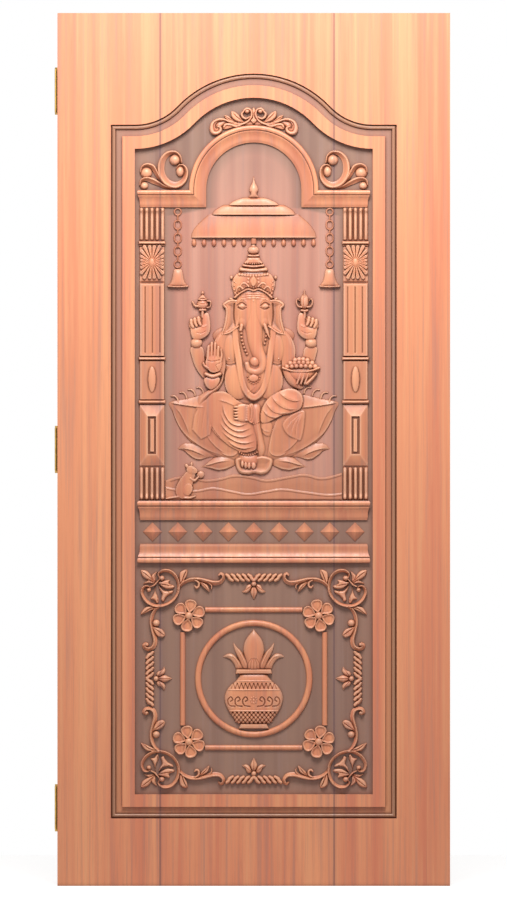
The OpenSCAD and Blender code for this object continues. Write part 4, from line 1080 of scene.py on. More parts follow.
class DOOR_OT_scrollwork(bpy.types.Operator):
    """Carve the scrolls over the cornices and the crest on the arch"""
    bl_idname = "temple_door.scrollwork"
    bl_label = "Scrollwork"

    def execute(self, context):
        scroll = Relief(150, 125, sheet_step(0.892 * MM, 0.8))
        scroll.strand([(121, 40), (117, 25), (108, 16), (97, 14), (83, 19), (71, 33), (66, 52), (67, 70),
                       (75, 87), (89, 99), (105, 103), (120, 98), (131, 86), (135, 70), (132, 57), (125, 50),
                       (116, 50), (110, 57)], [8, 10, 11, 13, 17, 20, 21, 21, 21, 20, 17, 15, 13, 11, 9, 7],
                      [0.8, 0.9, 0.9, 0.85, 0.8, 0.75], right_crest)
        scroll.blob((104, 34), 15, 15, 1.0)
        scroll.blob((118.5, 65), 11.5, 15, 0.95)
        scroll.strand([(12, 66), (15, 55), (24, 49), (34, 49), (44, 54), (52, 66), (60, 81), (69, 94),
                       (78, 102)], [8, 10, 12, 13, 14, 13, 11, 8, 5], [0.8, 0.86, 0.86, 0.8, 0.66],
                      left_crest)
        scroll.blob((26, 69), 16.5, 15.5, 0.95)
        scroll.strand([(10, 101), (13, 91), (21, 86), (31, 86), (45, 91), (59, 98), (74, 106), (92, 112)],
                      [7, 10, 12, 14, 16, 13, 10, 6], [0.76, 0.8, 0.8, 0.76, 0.56], left_crest)
        scroll.blob((20.5, 104), 11.5, 11, 0.9)
        carving(scroll, pair("spandrel_scroll"))

        crest = Relief(157, 72, sheet_step(1.456 * MM, 0.75))
        for _ in crest.mirrored(77.5):
            crest.shape([(78, 42), (62, 44), (46, 48), (31, 52), (27, 46), (36, 38), (45, 33), (56, 36),
                         (66, 33), (72, 24), (78, 22)], 0.46, 3)
            crest.swell([(8, 47), (10, 38), (17, 32), (27, 31), (38, 36), (33, 41), (27, 46), (26, 54),
                         (21, 60), (13, 61), (8.5, 55)], 0.66)
            crest.fold([(36, 37), (27, 35), (20, 37), (16, 43), (17, 49), (21, 51)], 9, -0.3)
            crest.shape([(30, 25), (37, 25.5), (43, 31), (50, 37), (55, 40), (44, 40), (35, 34.5)], 0.66, 3)
            crest.line([(32, 27), (41, 33), (51, 38.5)], 2.2, 0.16)
            crest.shape([(41.5, 17), (47, 18), (54, 24), (59, 32), (62, 38), (53, 38), (45, 33), (41, 26)],
                        0.8, 4)
            crest.line([(43.5, 19), (50, 27), (60, 37)], 2.2, 0.16)
            crest.strand([(60, 41), (50, 45), (40, 42), (33, 42), (30, 47)], [4, 7, 7, 6, 4], 0.7)
            crest.strand([(50, 39), (40, 37), (31, 33), (22, 32.5), (13.5, 37.5), (10.5, 47), (12.5, 56),
                          (18.5, 58), (24, 54), (24.5, 48), (20.5, 46)],
                         [4, 5, 5, 5.5, 6, 8, 9.5, 8.5, 7, 5, 4],
                         [0.62, 0.74, 0.9, 0.95, 0.95, 0.95, 0.9, 0.9])
            crest.strand([(44, 41), (58, 41), (67, 37), (73, 29), (74.5, 21), (72, 14.5), (66.5, 12.5),
                          (62, 16)], [5, 6, 6, 5.5, 5, 5, 5.5, 5], [0.66, 0.76, 0.86, 0.95, 1.0])
            crest.strand([(62, 17), (58.5, 22), (60, 28), (65, 31), (71, 28)], [4, 5, 5.5, 5, 4], 0.9)
            crest.blob((67, 17), 5, 4.8, 1.0)
        crest.shape([(77.5, 9.5), (81, 15.5), (79.5, 22), (80, 29), (83, 35), (77.5, 41), (72, 35), (75, 29),
                     (75.5, 22), (74, 15.5)], 0.85, 2.4)
        crest.blob((77.5, 35.5), 3.6, 5, 0.98)
        carving(crest, single("crest"), drop=5 * MM)
        return {"FINISHED"}


class DOOR_OT_canopy(bpy.types.Operator):
    """Carve the tiered canopy with its finial, and hang its drops"""
    bl_idname = "temple_door.canopy"
    bl_label = "Canopy"

    def execute(self, context):
        low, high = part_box("canopy")
        half = (high.x - low.x) / 2
        drops = settings().drops
        pitch = half / (drops + 0.3)
        tiers_h = 62
        tiers_foot = high.z - tiers_h * UNIT
        relief = Relief(125.2, tiers_h, sheet_step(UNIT, 0.85))
        mid = 62.6
        for top, bottom, half_top, half_foot, low_h, high_h in ((37.6, 61.6, 44, 62.4, 0.3, 0.74),
                                                                (28.6, 38.8, 30, 41.5, 0.5, 0.8),
                                                                (21.2, 29.5, 10, 25, 0.6, 0.86)):
            self.tier(relief, mid, top, bottom, half_top, half_foot, low_h, high_h)
        finial = both_sides(mid, ((1.4, 6), (4.0, 11.4), (4.6, 14.6), (3, 18), (5.4, 21.6)))
        relief.swell([(mid, 0), *finial], 1.0)
        top_box = (low.copy(), high.copy())
        top_box[0].z = tiers_foot
        body = relief.cut_out("canopy_tiers", top_box)
        drop_r = 0.24 * pitch
        rows = [grow("row", self.drop(drop_r), Count=drops,
                     Start=(side * pitch, FLOOR_Y, tiers_foot - 1.9 * drop_r), Step=(side * pitch, 0, 0),
                     Material=finish("wood")) for side in (-1, 1)]
        pole = self.pole(12 * MM, low.z, tiers_foot - 0.4 * MM)
        piece("canopy_carving", joined("canopy", [body, *rows, pole]), "canopy")
        return {"FINISHED"}

    def tier(self, relief, mid, top, bottom, half_top, half_foot, low_h, high_h):
        """One tier of the umbrella: it bows out on its way down and ends in a sharp lower edge."""
        down = np.clip((relief.y - top) / (bottom - top), 0, 1)
        half = half_top + (half_foot - half_top) * np.sin(down * math.pi / 2)
        across = np.clip(np.abs(relief.x - mid) / half, 0, 1)
        depth = np.minimum(np.minimum(half - np.abs(relief.x - mid), relief.y - top), bottom - relief.y)
        round_over = np.sqrt(1 - across ** 6) * np.sqrt(np.clip((relief.y - top) / 2.4, 0, 1))
        relief.lay(np.s_[:, :], depth, (low_h + (high_h - low_h) * np.sin(down * math.pi / 2)) * round_over)

    def drop(self, r):
        """An egg-shaped drop, flat where it meets the ground."""
        rings = []
        for t in np.linspace(0, math.pi, 13):
            wide = math.sin(t) * (1 - 0.22 * math.cos(t))
            rings.append([(r * wide * math.cos(a), -1.3 * r * wide * math.sin(a), 1.7 * r * math.cos(t))
                          for a in np.linspace(0, math.pi, 13)])
        points, faces = loft(rings, closed=False)
        faces += [[i * 13 for i in range(13)] + [i * 13 + 12 for i in reversed(range(13))]]
        return outward(to_mesh("drop", points, faces, crease=60))

    def pole(self, width, bottom, top):
        """The end of the umbrella's pole, rounded on its face."""
        half = width / 2
        face = ((1, 0), (1, 0.6), (0.8, 0.86), (0.4, 1), (-0.4, 1), (-0.8, 0.86), (-1, 0.6), (-1, 0))
        return skin("pole", [[(half * x, FLOOR_Y - 7 * MM * y, z) for z in (bottom, top)] for x, y in face])


class DOOR_OT_chains(bpy.types.Operator):
    """Hang the chains and their bells"""
    bl_idname = "temple_door.chains"
    bl_label = "Chains And Bells"

    def execute(self, context):
        for node in ("left_chain", "right_chain"):
            low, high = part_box(node)
            x = (low.x + high.x) / 2
            wide = (high.x - low.x) / 2
            deep = high.y - low.y
            links = 3
            end = 2 * wide
            pitch = (high.z - low.z - end) / (links + 1)
            wood = finish("wood")
            first = high.z - wide - pitch
            # A ring at each end, links seen from the front, and between them links seen from the edge
            kinds = ((self.link(wide, wide, wide * 0.22, deep), 2, high.z - wide, (links + 1) * pitch),
                     (self.link(wide, pitch * 0.41, wide * 0.22, deep), links, first, pitch),
                     (self.edge_link(wide * 0.2, pitch * 0.27, deep), links + 1, first + pitch / 2, pitch))
            rows = [grow("row", mesh, Count=count, Start=(x, FLOOR_Y, z), Step=(0, 0, -step), Material=wood)
                    for mesh, count, z, step in kinds]
            piece(node + "_links", joined(node, rows), node)
        bell = Relief(23.6, 19.2, sheet_step(UNIT, 0.55))
        half = ((2.6, 0.4), (4.0, 1.0), (5.2, 3.0), (6.0, 7.0), (6.9, 11.0), (8.2, 14.0), (10.2, 16.4),
                (11.7, 17.8), (11.7, 18.8))
        bell.swell(both_sides(11.8, half), 0.95)
        bell.strand([(1.2, 18.0), (11.8, 18.5), (22.4, 18.0)], 1.9, 1.0)
        bell.blob((11.8, 18.6), 1.8, 1.2, 0.8)
        carving(bell, pair("bell"))
        return {"FINISHED"}

    def link(self, wide, tall, wire, deep):
        """A flat link seen from the front, half round on its face."""
        run = wide - wire
        straight = tall - wide
        loop = [(x, z + straight) for x, z in arc(0, 0, run, 0, 180, 17)]
        loop += [(x, z - straight) for x, z in arc(0, 0, run, 180, 360, 17)]
        loop.append(loop[0])
        rows = []
        for a in np.radians(np.linspace(0, 180, 9)):
            shift = wire * math.cos(a)
            rows.append([(x * (1 + shift / run), -deep * 0.6 * math.sin(a),
                          z + shift * (z - math.copysign(straight, z)) / run) for x, z in loop])
        points, faces = loft(rows, closed=True)
        return outward(to_mesh("link", points, faces[:-2], crease=60))

    def edge_link(self, half, tall, deep):
        """A link seen from its edge: a bar with rounded ends."""
        rings = []
        for t in np.linspace(-1, 1, 11):
            w = half * math.sqrt(max(1 - t ** 6, 0.02))
            rings.append([(w * math.cos(a), -deep * (0.45 + 0.55 * math.sqrt(1 - t * t * 0.8)) * math.sin(a),
                           tall * t) for a in np.linspace(0, math.pi, 9)])
        points, faces = loft(rings, closed=False)
        last = 10 * 9
        faces += [list(range(9)), [last + i for i in reversed(range(9))],
                  [i * 9 for i in range(11)] + [i * 9 + 8 for i in reversed(range(11))]]
        return outward(to_mesh("edge_link", points, faces, crease=60))


# The figure's body and head are drawn on sheets of their own: the size of a sheet's unit, its left edge
# and its top edge
BODY_SHEET = (1.148, -2.6, 87)
HEAD_SHEET = (0.9567, 12.4, -13)
# The middle lines of the body, and of the head and the raised hands on the head's sheet
BODY_AXIS = 76.7
HEAD_AXIS = 76.1
HANDS_AXIS = 76.3


def carve_lotus(r):
    """The open flower that the figure sits on, with two leaves on each side and a foot."""
    for _ in r.mirrored(BODY_AXIS):
        for x, y in ((6, 57.5), (13.5, 54.4), (21, 52), (28.5, 50)):
            r.strand([(x - 3, y - 1), (x, y - 1), (x + 2.4, y + 1), (x + 3.4, y + 4)], [1.2, 1.8, 2, 2], 0.3)
        r.swell([(1.5, 62), (4, 70), (8, 80), (15, 91), (25, 100), (38, 107), (52, 112), (66, 113.5),
                 (77, 113), (77, 62), (60, 57), (42, 54.4), (30, 55.4), (17, 58.6)], 0.42)
        # The upper face of the outer petal, then the rims of the petals below it
        r.fold([(2.4, 62.6), (13, 64.4), (25, 66), (34, 67)], 10, 0.24, 0.1)
        r.fold([(2.6, 63), (7, 77), (14, 88.4), (24, 97), (37, 104.4), (54, 110)], 3.4, 0.15)
        r.fold([(5, 65), (11, 72), (16, 82), (19.6, 92)], 7, 0.13)
        r.fold([(34, 90), (39, 97), (45, 102.6), (52, 107)], 7, 0.13)
        r.fold([(46, 103.6), (50, 107.6), (56, 109), (61, 107.4), (63.6, 103)], 4, 0.15)
        # Two leaves, each with a raised midrib and a raised lower rim
        r.swell([(8.6, 102.5), (11.5, 99.2), (15, 97.2), (22, 97.5), (29, 100.5), (34, 103.5), (40, 107),
                 (45, 109.6), (37.5, 109.8), (33, 111), (29, 112.2), (24, 111.5), (19, 108), (15, 104.4)],
                0.4, smooth=False)
        r.fold([(9.6, 102.4), (18, 103), (26, 105.6), (34, 109.4)], 5.5, 0.2)
        r.fold([(13.6, 103.4), (19, 107.6), (24, 110.8), (29, 111.6), (35, 110.2)], 2.4, 0.16)
        r.swell([(28.6, 118.2), (33, 116.6), (37, 113), (41, 110), (48, 108.6), (56, 109.6), (61, 112),
                 (60.6, 116.4), (57, 118.4), (52, 120.4), (45, 121.4), (39, 119.8), (34, 118.8)], 0.44,
                smooth=False)
        r.fold([(30, 118), (38, 116.2), (46, 114), (56, 113)], 5.5, 0.2)
        r.fold([(32, 118.3), (39, 119.4), (45, 120.8), (52, 119.8), (59, 116.8)], 2.4, 0.16)
    r.fold([(99, 74), (93.6, 86), (90.6, 99), (88.6, 112)], 12, 0.18)
    r.shape([(60.5, 111), (61, 119), (65, 124), (72, 125), (77, 124), (83, 125), (89, 123.4), (93, 118),
             (93.4, 111), (85, 108), (77, 109), (69, 108)], 0.62, 2.4, rim=0.34)


def carve_legs(r):
    """The crossed legs in their cloth, with both feet and their anklets."""
    # Cloth hanging from the knees, flat and pointed on the left, spread like a fan on the right
    r.shape([(20.6, 86), (23, 73), (28, 63), (36, 57), (40, 70), (40.5, 82), (38.6, 91), (29.5, 95.5)], 0.56,
            2, smooth=False)
    for x in (25.6, 30, 34.6):
        r.fold([(x + 4, 64), (x + 1.5, 77), (x, 90)], 3.6, 0.06)
    r.shape([(122.5, 69), (114, 70), (106, 75), (101.5, 82), (106, 90.5), (113, 94.5), (118.5, 96),
             (121, 90), (122.6, 80)], 0.6, 2)
    for x, y in ((104.6, 86.6), (109, 92), (114, 95)):
        r.fold([(120, 71), ((120 + x) / 2 - 2, (71 + y) / 2), (x, y)], 4.4, 0.1)
    r.swell([(81, 78), (92, 77), (95, 86), (91, 94), (84, 90)], 0.66)
    for path in ([(82, 82), (86, 87), (92, 88)], [(83, 86), (87, 90.6), (91.6, 91.4)]):
        r.fold(path, 3, 0.1)
    # The left leg under its cloth, with hanging folds and a plain hem
    r.swell([(33.2, 64), (36, 57), (43, 52.6), (52, 53), (62, 60), (70, 64), (78, 68), (79, 84), (79.5, 98),
             (78, 103.6), (68, 106), (60, 103), (52, 98), (45, 91), (38.6, 82), (34.4, 73)], 0.66, 0.5)
    for path in ([(48.6, 63), (50.6, 72), (56, 80), (64, 82.6), (72, 80)],
                 [(47, 71), (51, 80), (58, 86), (66, 87.4), (75, 84)],
                 [(46, 79), (51.6, 86.4), (59.6, 91.4), (68, 92.4), (77, 89)],
                 [(47.6, 87), (54, 92.6), (62, 96.8), (70, 97.8), (78.4, 95.4)],
                 [(53, 95.4), (59, 100), (67, 102.4), (78, 101)]):
        r.fold(path, 7, 0.25)
    for path in ([(37, 82), (43, 90), (50, 97)], [(44.6, 60), (52, 62), (62, 66)]):
        r.fold(path, 5, 0.14)
    # The foot it stands on
    r.swell([(64, 106), (72, 107.4), (79.5, 106), (81, 112), (79, 117.6), (72, 118), (66, 116.6),
             (63.4, 112)], 0.84)
    for x, y, size in ((66.6, 115.6, 1.5), (69.6, 116.6, 1.6), (72.6, 117, 1.7), (76.4, 117, 2.2)):
        r.blob((x, y), size * 1.1, 3.4, 0.97, 0.5)
    r.beads([(64, 105.6), (68, 107.6), (72, 108), (76, 107.4), (79.6, 105.6)], 9, 1.1, 0.95)
    # The right leg, crossed in front, with its folds drawn round the thigh
    r.swell([(83, 70), (88, 60), (96, 54), (106, 50), (114, 50.6), (119.5, 55), (120.6, 62), (118, 68),
             (110, 71.5), (102, 73.4), (95, 77), (88, 80), (83, 79)], 0.88, 0.6)
    for path in ([(84, 68), (89, 73.6), (96, 75.6), (103, 73)], [(87, 62), (92.6, 69), (100, 72), (109, 71)],
                 [(92.4, 57), (98, 63.6), (106, 67.8), (116, 68.4)],
                 [(99, 53.4), (105, 58.4), (112, 61), (119, 60.6)]):
        r.fold(path, 6.4, 0.22)
    r.swell([(73, 65), (82.6, 64), (83.4, 80), (86, 95), (87.6, 104), (83, 112), (80, 107), (78.4, 95),
             (74, 80)], 0.86)
    r.fold([(78, 66), (79.4, 82), (82.6, 104)], 4, 0.07)
    r.shape([(61.6, 65.4), (65, 63.4), (71, 63.8), (73.4, 66), (73.4, 77), (70, 79), (64, 78.6), (61.6, 76)],
            0.94, 3, 0.7)
    r.shape([(72, 64.4), (77, 64.4), (77, 79), (72, 79)], 0.84, 1)
    for i in range(5):
        r.blob((61.4, 66 + 2.6 * i), 3.2, 1.25, 1.0, 0.6)
    r.beads([(70.2, 65), (70.8, 71), (70.2, 77.4)], 7, 1.2, 1.0, 0.9)
    r.strand([(74, 65.4), (75, 71), (74, 77.4)], 2.4, 0.98)
    r.beads([(73.4, 79), (77, 80.6), (81, 79)], 6, 1.1, 0.98)


def carve_torso(r):
    """Chest, belly, garland and necklaces."""
    r.swell([(40, 3), (50, -4), (76, -8), (103, -4), (113, 3), (108, 14), (103, 26), (102, 42), (97, 54),
             (88, 60), (76, 62), (64, 60), (55.6, 54), (51, 42), (50, 26), (45, 14)], 0.56)
    for _ in r.mirrored(BODY_AXIS):
        r.blob((56.5, 15), 8.6, 13, 0.74, 0.36)
        r.blob((63, 43), 12.6, 16.6, 0.82, 0.36)
        r.line([(50.6, 28), (55, 29.6), (60, 28.6)], 2.2, 0.1)
        r.blob((54.6, 24), 1.0, 1.0, 0.78, 0.6)
    r.blob((76.5, 42), 17, 18, 0.74, 0.4)
    r.strand([(60, 0), (61, 12), (63.4, 26), (65.4, 40), (69.4, 51.6), (76.8, 57.6), (84.4, 51.6),
              (88.4, 40), (90.6, 26), (92.6, 12), (94, 0)], 6.6,
             [0.62, 0.8, 0.88, 0.9, 0.92, 0.94, 0.92, 0.9, 0.88, 0.8, 0.62], flat_band)
    r.blob((76.5, 41), 4.6, 3.4, 1.0, 0.75)
    r.beads([(70.8, 39.6), (72.4, 43.6), (76.5, 45.8), (80.6, 43.6), (82.2, 39.6)], 9, 1.0, 1.0)
    r.fold([(70, 55), (75, 51), (80, 47)], 3, 0.06)
    r.beads([(65.4, -1), (66, 7), (68, 14), (70.6, 20)], 8, 1.5, 0.98)
    r.beads([(88, 1), (87.6, 6), (86.4, 11)], 4, 1.4, 0.96)


def carve_arms(r):
    """Four arms, with the open hand and the hand that holds a bowl."""
    for _ in r.mirrored(BODY_AXIS):
        r.swell([(20.4, 14), (31, 14), (33.4, 26), (36.6, 38), (32, 41), (25.4, 33), (21.4, 23)], 0.56, 0.26)
        r.swell([(53, -1), (45, 3), (39.6, 14), (40, 26), (43, 36), (50.6, 36), (52, 20)], 0.68, 0.4)
        r.fold([(50, 0), (45, 6), (42, 15)], 5, 0.08)
        r.swell([(20.4, 10), (22, 6.6), (26, 6), (30, 7), (31, 10.6), (28.6, 14.4), (24.6, 15),
                 (21.4, 13.6)], 0.92)
    # The open hand, its bracelet, and the cloth that falls from the elbow
    r.strand([(49.8, 36), (48, 44), (43, 50), (36, 54.6), (30, 60), (27, 67)], [2.4, 3, 4.4, 6, 8, 9],
             [0.62, 0.66, 0.68, 0.68, 0.66, 0.6], ridged, 0.2)
    r.swell([(32, 42.6), (34.4, 40), (40, 41), (45.6, 40), (46.6, 43), (44, 48), (39, 51), (34.4, 48.6)],
            0.84, 0.5)
    r.swell([(33.4, 30), (34, 24.6), (36, 21.4), (43, 20.5), (47.6, 23), (48.6, 29), (46.4, 34.6),
             (41, 36.4), (36.6, 34.6)], 0.96, 0.66)
    r.shape([(34.4, 27), (34.6, 15), (37.6, 10.4), (41.8, 9.6), (45, 14), (46.4, 27)], 0.66, 2)
    for x, tip in ((36.0, 13.4), (38.9, 10.4), (41.8, 10.8), (44.6, 14)):
        r.strand([(x, 25), (x + 0.2, 17), (x + 0.5, tip)], [3.2, 3.1, 2.8], 0.9, lift=0.6)
    r.strand([(46.6, 28), (48, 21.6), (47.4, 16)], [4, 3.4, 2.4], 0.94)
    r.strand([(36, 32), (32.8, 30), (31.8, 28)], [4, 3.4, 2.6], 0.92)
    r.line([(35.4, 25.4), (40, 26.4), (46, 25)], 1.2, 0.1)
    r.line([(45, 34), (43, 30), (46.6, 27.6)], 1.2, 0.08)
    r.strand([(34, 37.4), (40, 39.4), (46.4, 37.4)], [4, 4.8, 4], 1.0)
    # The hand with the bowl of sweets
    r.swell([(102, 30), (107, 28), (112, 36), (118, 44), (121, 49.6), (116, 50.6), (108, 46), (103, 38)],
            0.76)
    r.swell([(103, 32.6), (106, 38.4), (112, 43), (119, 45.4), (126, 42.6), (131.6, 37.6), (134.6, 32.6)],
            0.9)
    for x in (115.4, 118.8, 122.2):
        r.strand([(x, 45.6), (x + 1.8, 41), (x + 3.2, 37.2)], [3, 2.8, 2.2], 0.98)
    r.strand([(124, 45.4), (129, 41), (132.6, 36.8)], [4, 3.4, 2.4], 0.94)
    for y, first, last, count in ((31, 106.4, 131.4, 7), (28, 109.4, 128.6, 6), (25.4, 113.6, 124.4, 4)):
        r.beads([(first, y), ((first + last) / 2, y - 0.8), (last, y)], count, 2.5, 0.95, 0.4)
    r.strand([(102.6, 32), (110, 34.4), (119, 35.2), (128, 34.4), (134.8, 32)], 2.6, 1.0)


def carve_head(r):
    """Ears, face, trunk, tusks and eyes, under the crown."""
    for _ in r.mirrored(HEAD_AXIS):
        r.shape([(60, 73), (54, 71.6), (48, 73), (43.4, 77), (46.4, 80.6), (46.6, 88), (45.4, 97), (43, 104),
                 (41, 109.5), (48, 108), (55, 104), (61, 99), (63, 88)], 0.62, 3, rim=0.5)
        r.strand([(58, 73), (51, 73), (44.4, 77), (47.4, 81), (47.4, 90), (45.6, 99), (42.4, 108)],
                 [3, 4, 3.4, 3.6, 3.6, 3.4, 2], 0.74)
        r.strand([(42.4, 108), (50, 106), (60, 99.5)], [2, 3.2, 3], 0.74)
        r.line([(55.5, 76), (55, 88), (56.5, 99)], 2.0, 0.14)
    r.swell([(57, 66), (76, 58), (95, 66), (96, 78), (94.4, 90), (90, 100), (76, 106), (62, 100), (57.6, 90),
             (56.2, 78)], 0.86)
    for x in (66, 86.2):
        r.blob((x, 94), 8, 10, 0.78)
    r.strand([(76, 70), (76, 84), (76, 96), (77, 106), (78, 117), (81, 127), (86, 136), (85, 143.5),
              (78.5, 147.2), (71, 144.5), (69, 139)], [12, 15, 22, 21, 18.5, 16.5, 14, 11.5, 10, 9, 7],
             [0.93, 0.97, 1.0])
    r.blob((77.6, 136.4), 6, 6, 1.0, 0.3)
    r.strand([(88, 98), (90.6, 105), (93.2, 112)], [5.4, 4.6, 1.6], 1.0)
    r.strand([(63.5, 98.5), (62.4, 103.5)], [5.4, 4.6], 0.98)
    for _ in r.mirrored(HEAD_AXIS):
        r.fold([(57.6, 78), (60, 73.6), (64, 71.8), (67.6, 74), (69, 79)], 3.4, 0.1)
        r.line([(58.6, 77.6), (63.6, 74.6), (68.4, 77.8)], 1.6, 0.14)
        r.shape([(59.6, 78.4), (63.6, 75.8), (67.8, 78.6), (63.6, 80.6)], 0.96, 1.6, 0.8)
        r.blob((63.8, 78.2), 1.3, 1.3, 1.0, 0.9)
        r.line([(59, 79.6), (64, 82), (68.6, 79.8)], 1.4, 0.12)
    for y in (65.4, 67.8, 70.2):
        r.line([(63, y + 0.8), (70, y), (76, y - 0.2), (82, y), (89, y + 0.8)], 1.5, -0.09)
    r.blob((76, 73), 1.4, 1.6, 1.0, 0.8)
    carve_crown(r)


def carve_crown(r):
    """The tall beaded crown with its tiers."""
    r.shape([(57, 69), (53.6, 61), (52.6, 54), (56, 46.5), (63, 42.5), (76, 41.6), (89, 42.5), (96, 46.5),
             (99.6, 54), (98.4, 61), (95, 69), (90, 64.4), (82, 61), (76, 61.6), (70, 61), (62, 64.4)], 0.84,
            8, 0.3)
    r.strand([(56.4, 69.4), (62, 64.6), (70, 60.8), (76, 62.2), (82, 60.8), (90, 64.6), (95.6, 69.4)], 3.0,
             1.0)
    r.beads([(58, 66.4), (62, 62.2), (69.5, 58), (76, 59.4), (82.5, 58), (90, 62.2), (94, 66.4)], 17, 1.0,
            0.98)
    r.beads([(61, 45.4), (68, 46.2), (76, 46.6), (84, 46.2), (91, 45.4)], 11, 1.7, 0.98, 0.76)
    for _ in r.mirrored(HEAD_AXIS):
        # Leaf curls along the brim, a net of beads at the temple, and a knob on each shoulder
        r.strand([(71, 58), (67.6, 54.8), (63.8, 55), (62, 58.4)], [2.4, 2.6, 2.2, 1.4], 0.98, lift=0.76)
        r.strand([(65, 60.4), (61.4, 58), (58.4, 60), (58, 63.6)], [2.2, 2.4, 2, 1.4], 0.98, lift=0.7)
        for x, y in ((55.4, 57), (57.4, 54.6), (55.6, 52.6), (55.6, 61.4), (56.8, 65)):
            r.blob((x, y), 1.2, 1.2, 0.9, 0.6)
        r.blob((52.6, 48.6), 2, 2.4, 0.6)
        r.blob((52.2, 71), 2.6, 1.6, 0.8, 0.3, 20)
    r.shape([(76, 46.6), (79.6, 51.6), (78.6, 56), (76, 58.4), (73.4, 56), (72.4, 51.6)], 1.0, 2.2, 0.76)
    for side in (-1, 1):
        for x, y in ((3, 47), (5.4, 50), (5.6, 53.6)):
            r.blob((76 + side * x, y), 1.5, 1.5, 0.97, 0.76)
    r.strand([(63, 40.2), (76, 41.4), (89, 40.2)], 5.2, 0.96)
    r.strand([(65.4, 36), (76, 37), (86.6, 36)], 3.4, 0.9)
    r.shape([(66.6, 34.4), (68.4, 30), (70.4, 27), (81.6, 27), (83.6, 30), (85.4, 34.4)], 0.82, 3)
    r.beads([(67.6, 33.6), (76, 34.4), (84.4, 33.6)], 8, 1.2, 0.88)
    r.strand([(70.6, 25.6), (76, 26), (81.4, 25.6)], 3.0, 0.86)
    r.blob((76, 20), 6.4, 4.8, 0.84)
    r.blob((76, 15.6), 2.6, 2.2, 0.7)


def carve_hands(r):
    """The two raised hands and what they hold."""
    for _ in r.mirrored(HANDS_AXIS):
        r.swell([(9, 100), (14, 100.6), (20, 98), (21.6, 90), (24, 85.6), (28, 86), (29.8, 94), (30, 103),
                 (27, 109), (20, 113), (12, 113), (8.8, 107)], 0.9, 0.5)
        r.shape([(8, 102), (7.4, 95), (11.6, 91), (18.6, 89), (21.8, 93), (22, 102)], 0.64, 2)
        for x, y in ((9.4, 93.4), (13.2, 92), (17.2, 90.8)):
            r.strand([(x, y), (x + 0.4, y + 3.6), (x + 2, y + 7)], [4.2, 4.4, 3.6], 0.98, lift=0.56)
        r.fold([(19, 99.4), (23, 100.4), (27, 98)], 3, 0.09)
        r.line([(15, 106), (20, 107), (25, 104.6)], 1.4, 0.07)
    r.strand([(21.6, 82), (21.6, 90)], 4, 0.7)
    r.blob((21.6, 76.4), 6.4, 5.8, 0.86)
    r.strand([(17.6, 71.4), (21.6, 71.8), (25.6, 71.4)], 2.4, 0.88)
    r.shape([(17.6, 71), (20.4, 66.6), (22.8, 66.6), (25.6, 71)], 0.8, 2)
    r.blob((21.6, 64.6), 1.8, 2.2, 0.8)
    r.strand([(17.4, 78.6), (13.4, 78), (10.8, 74)], [3.6, 2.8, 2.4], 0.7)
    r.strand([(26.4, 73), (30.2, 74), (29.6, 79), (26.4, 80)], 2.2, 0.7)
    r.strand([(18.6, 82.4), (24.6, 82.4)], 3, 0.8)
    r.line([(16, 75), (21.6, 76), (27.2, 75)], 1.2, 0.1)
    r.strand([(130.8, 84), (130.8, 91)], 3.6, 0.7)
    r.blob((130.6, 74), 5, 8.4, 0.9)
    r.strand([(130.6, 69), (130.6, 65), (130.6, 62.6)], [4, 2.4, 2], 0.8)
    for _ in r.mirrored(130.6):
        r.strand([(127.4, 79.4), (123.8, 78.4), (122, 74), (123.6, 70.8), (125.4, 73)],
                 [2.8, 2.6, 2.4, 2, 1.4], 0.74)
    r.strand([(127.4, 82.8), (130.6, 83.4), (133.8, 82.8)], 3, 0.86)
    r.line([(130.6, 67), (129.2, 74), (130.4, 81)], 1.2, 0.1)


class DOOR_OT_figure(bpy.types.Operator):
    """Carve the seated figure on its lotus"""
    bl_idname = "temple_door.figure"
    bl_label = "Seated Figure"

    def execute(self, context):
        relief = Relief(172, 231, sheet_step(UNIT))
        relief.sheet(*BODY_SHEET)
        carve_lotus(relief)
        carve_legs(relief)
        carve_torso(relief)
        carve_arms(relief)
        relief.sheet(*HEAD_SHEET)
        carve_head(relief)
        carve_hands(relief)
        carving(relief, single("seated_figure"))
        return {"FINISHED"}


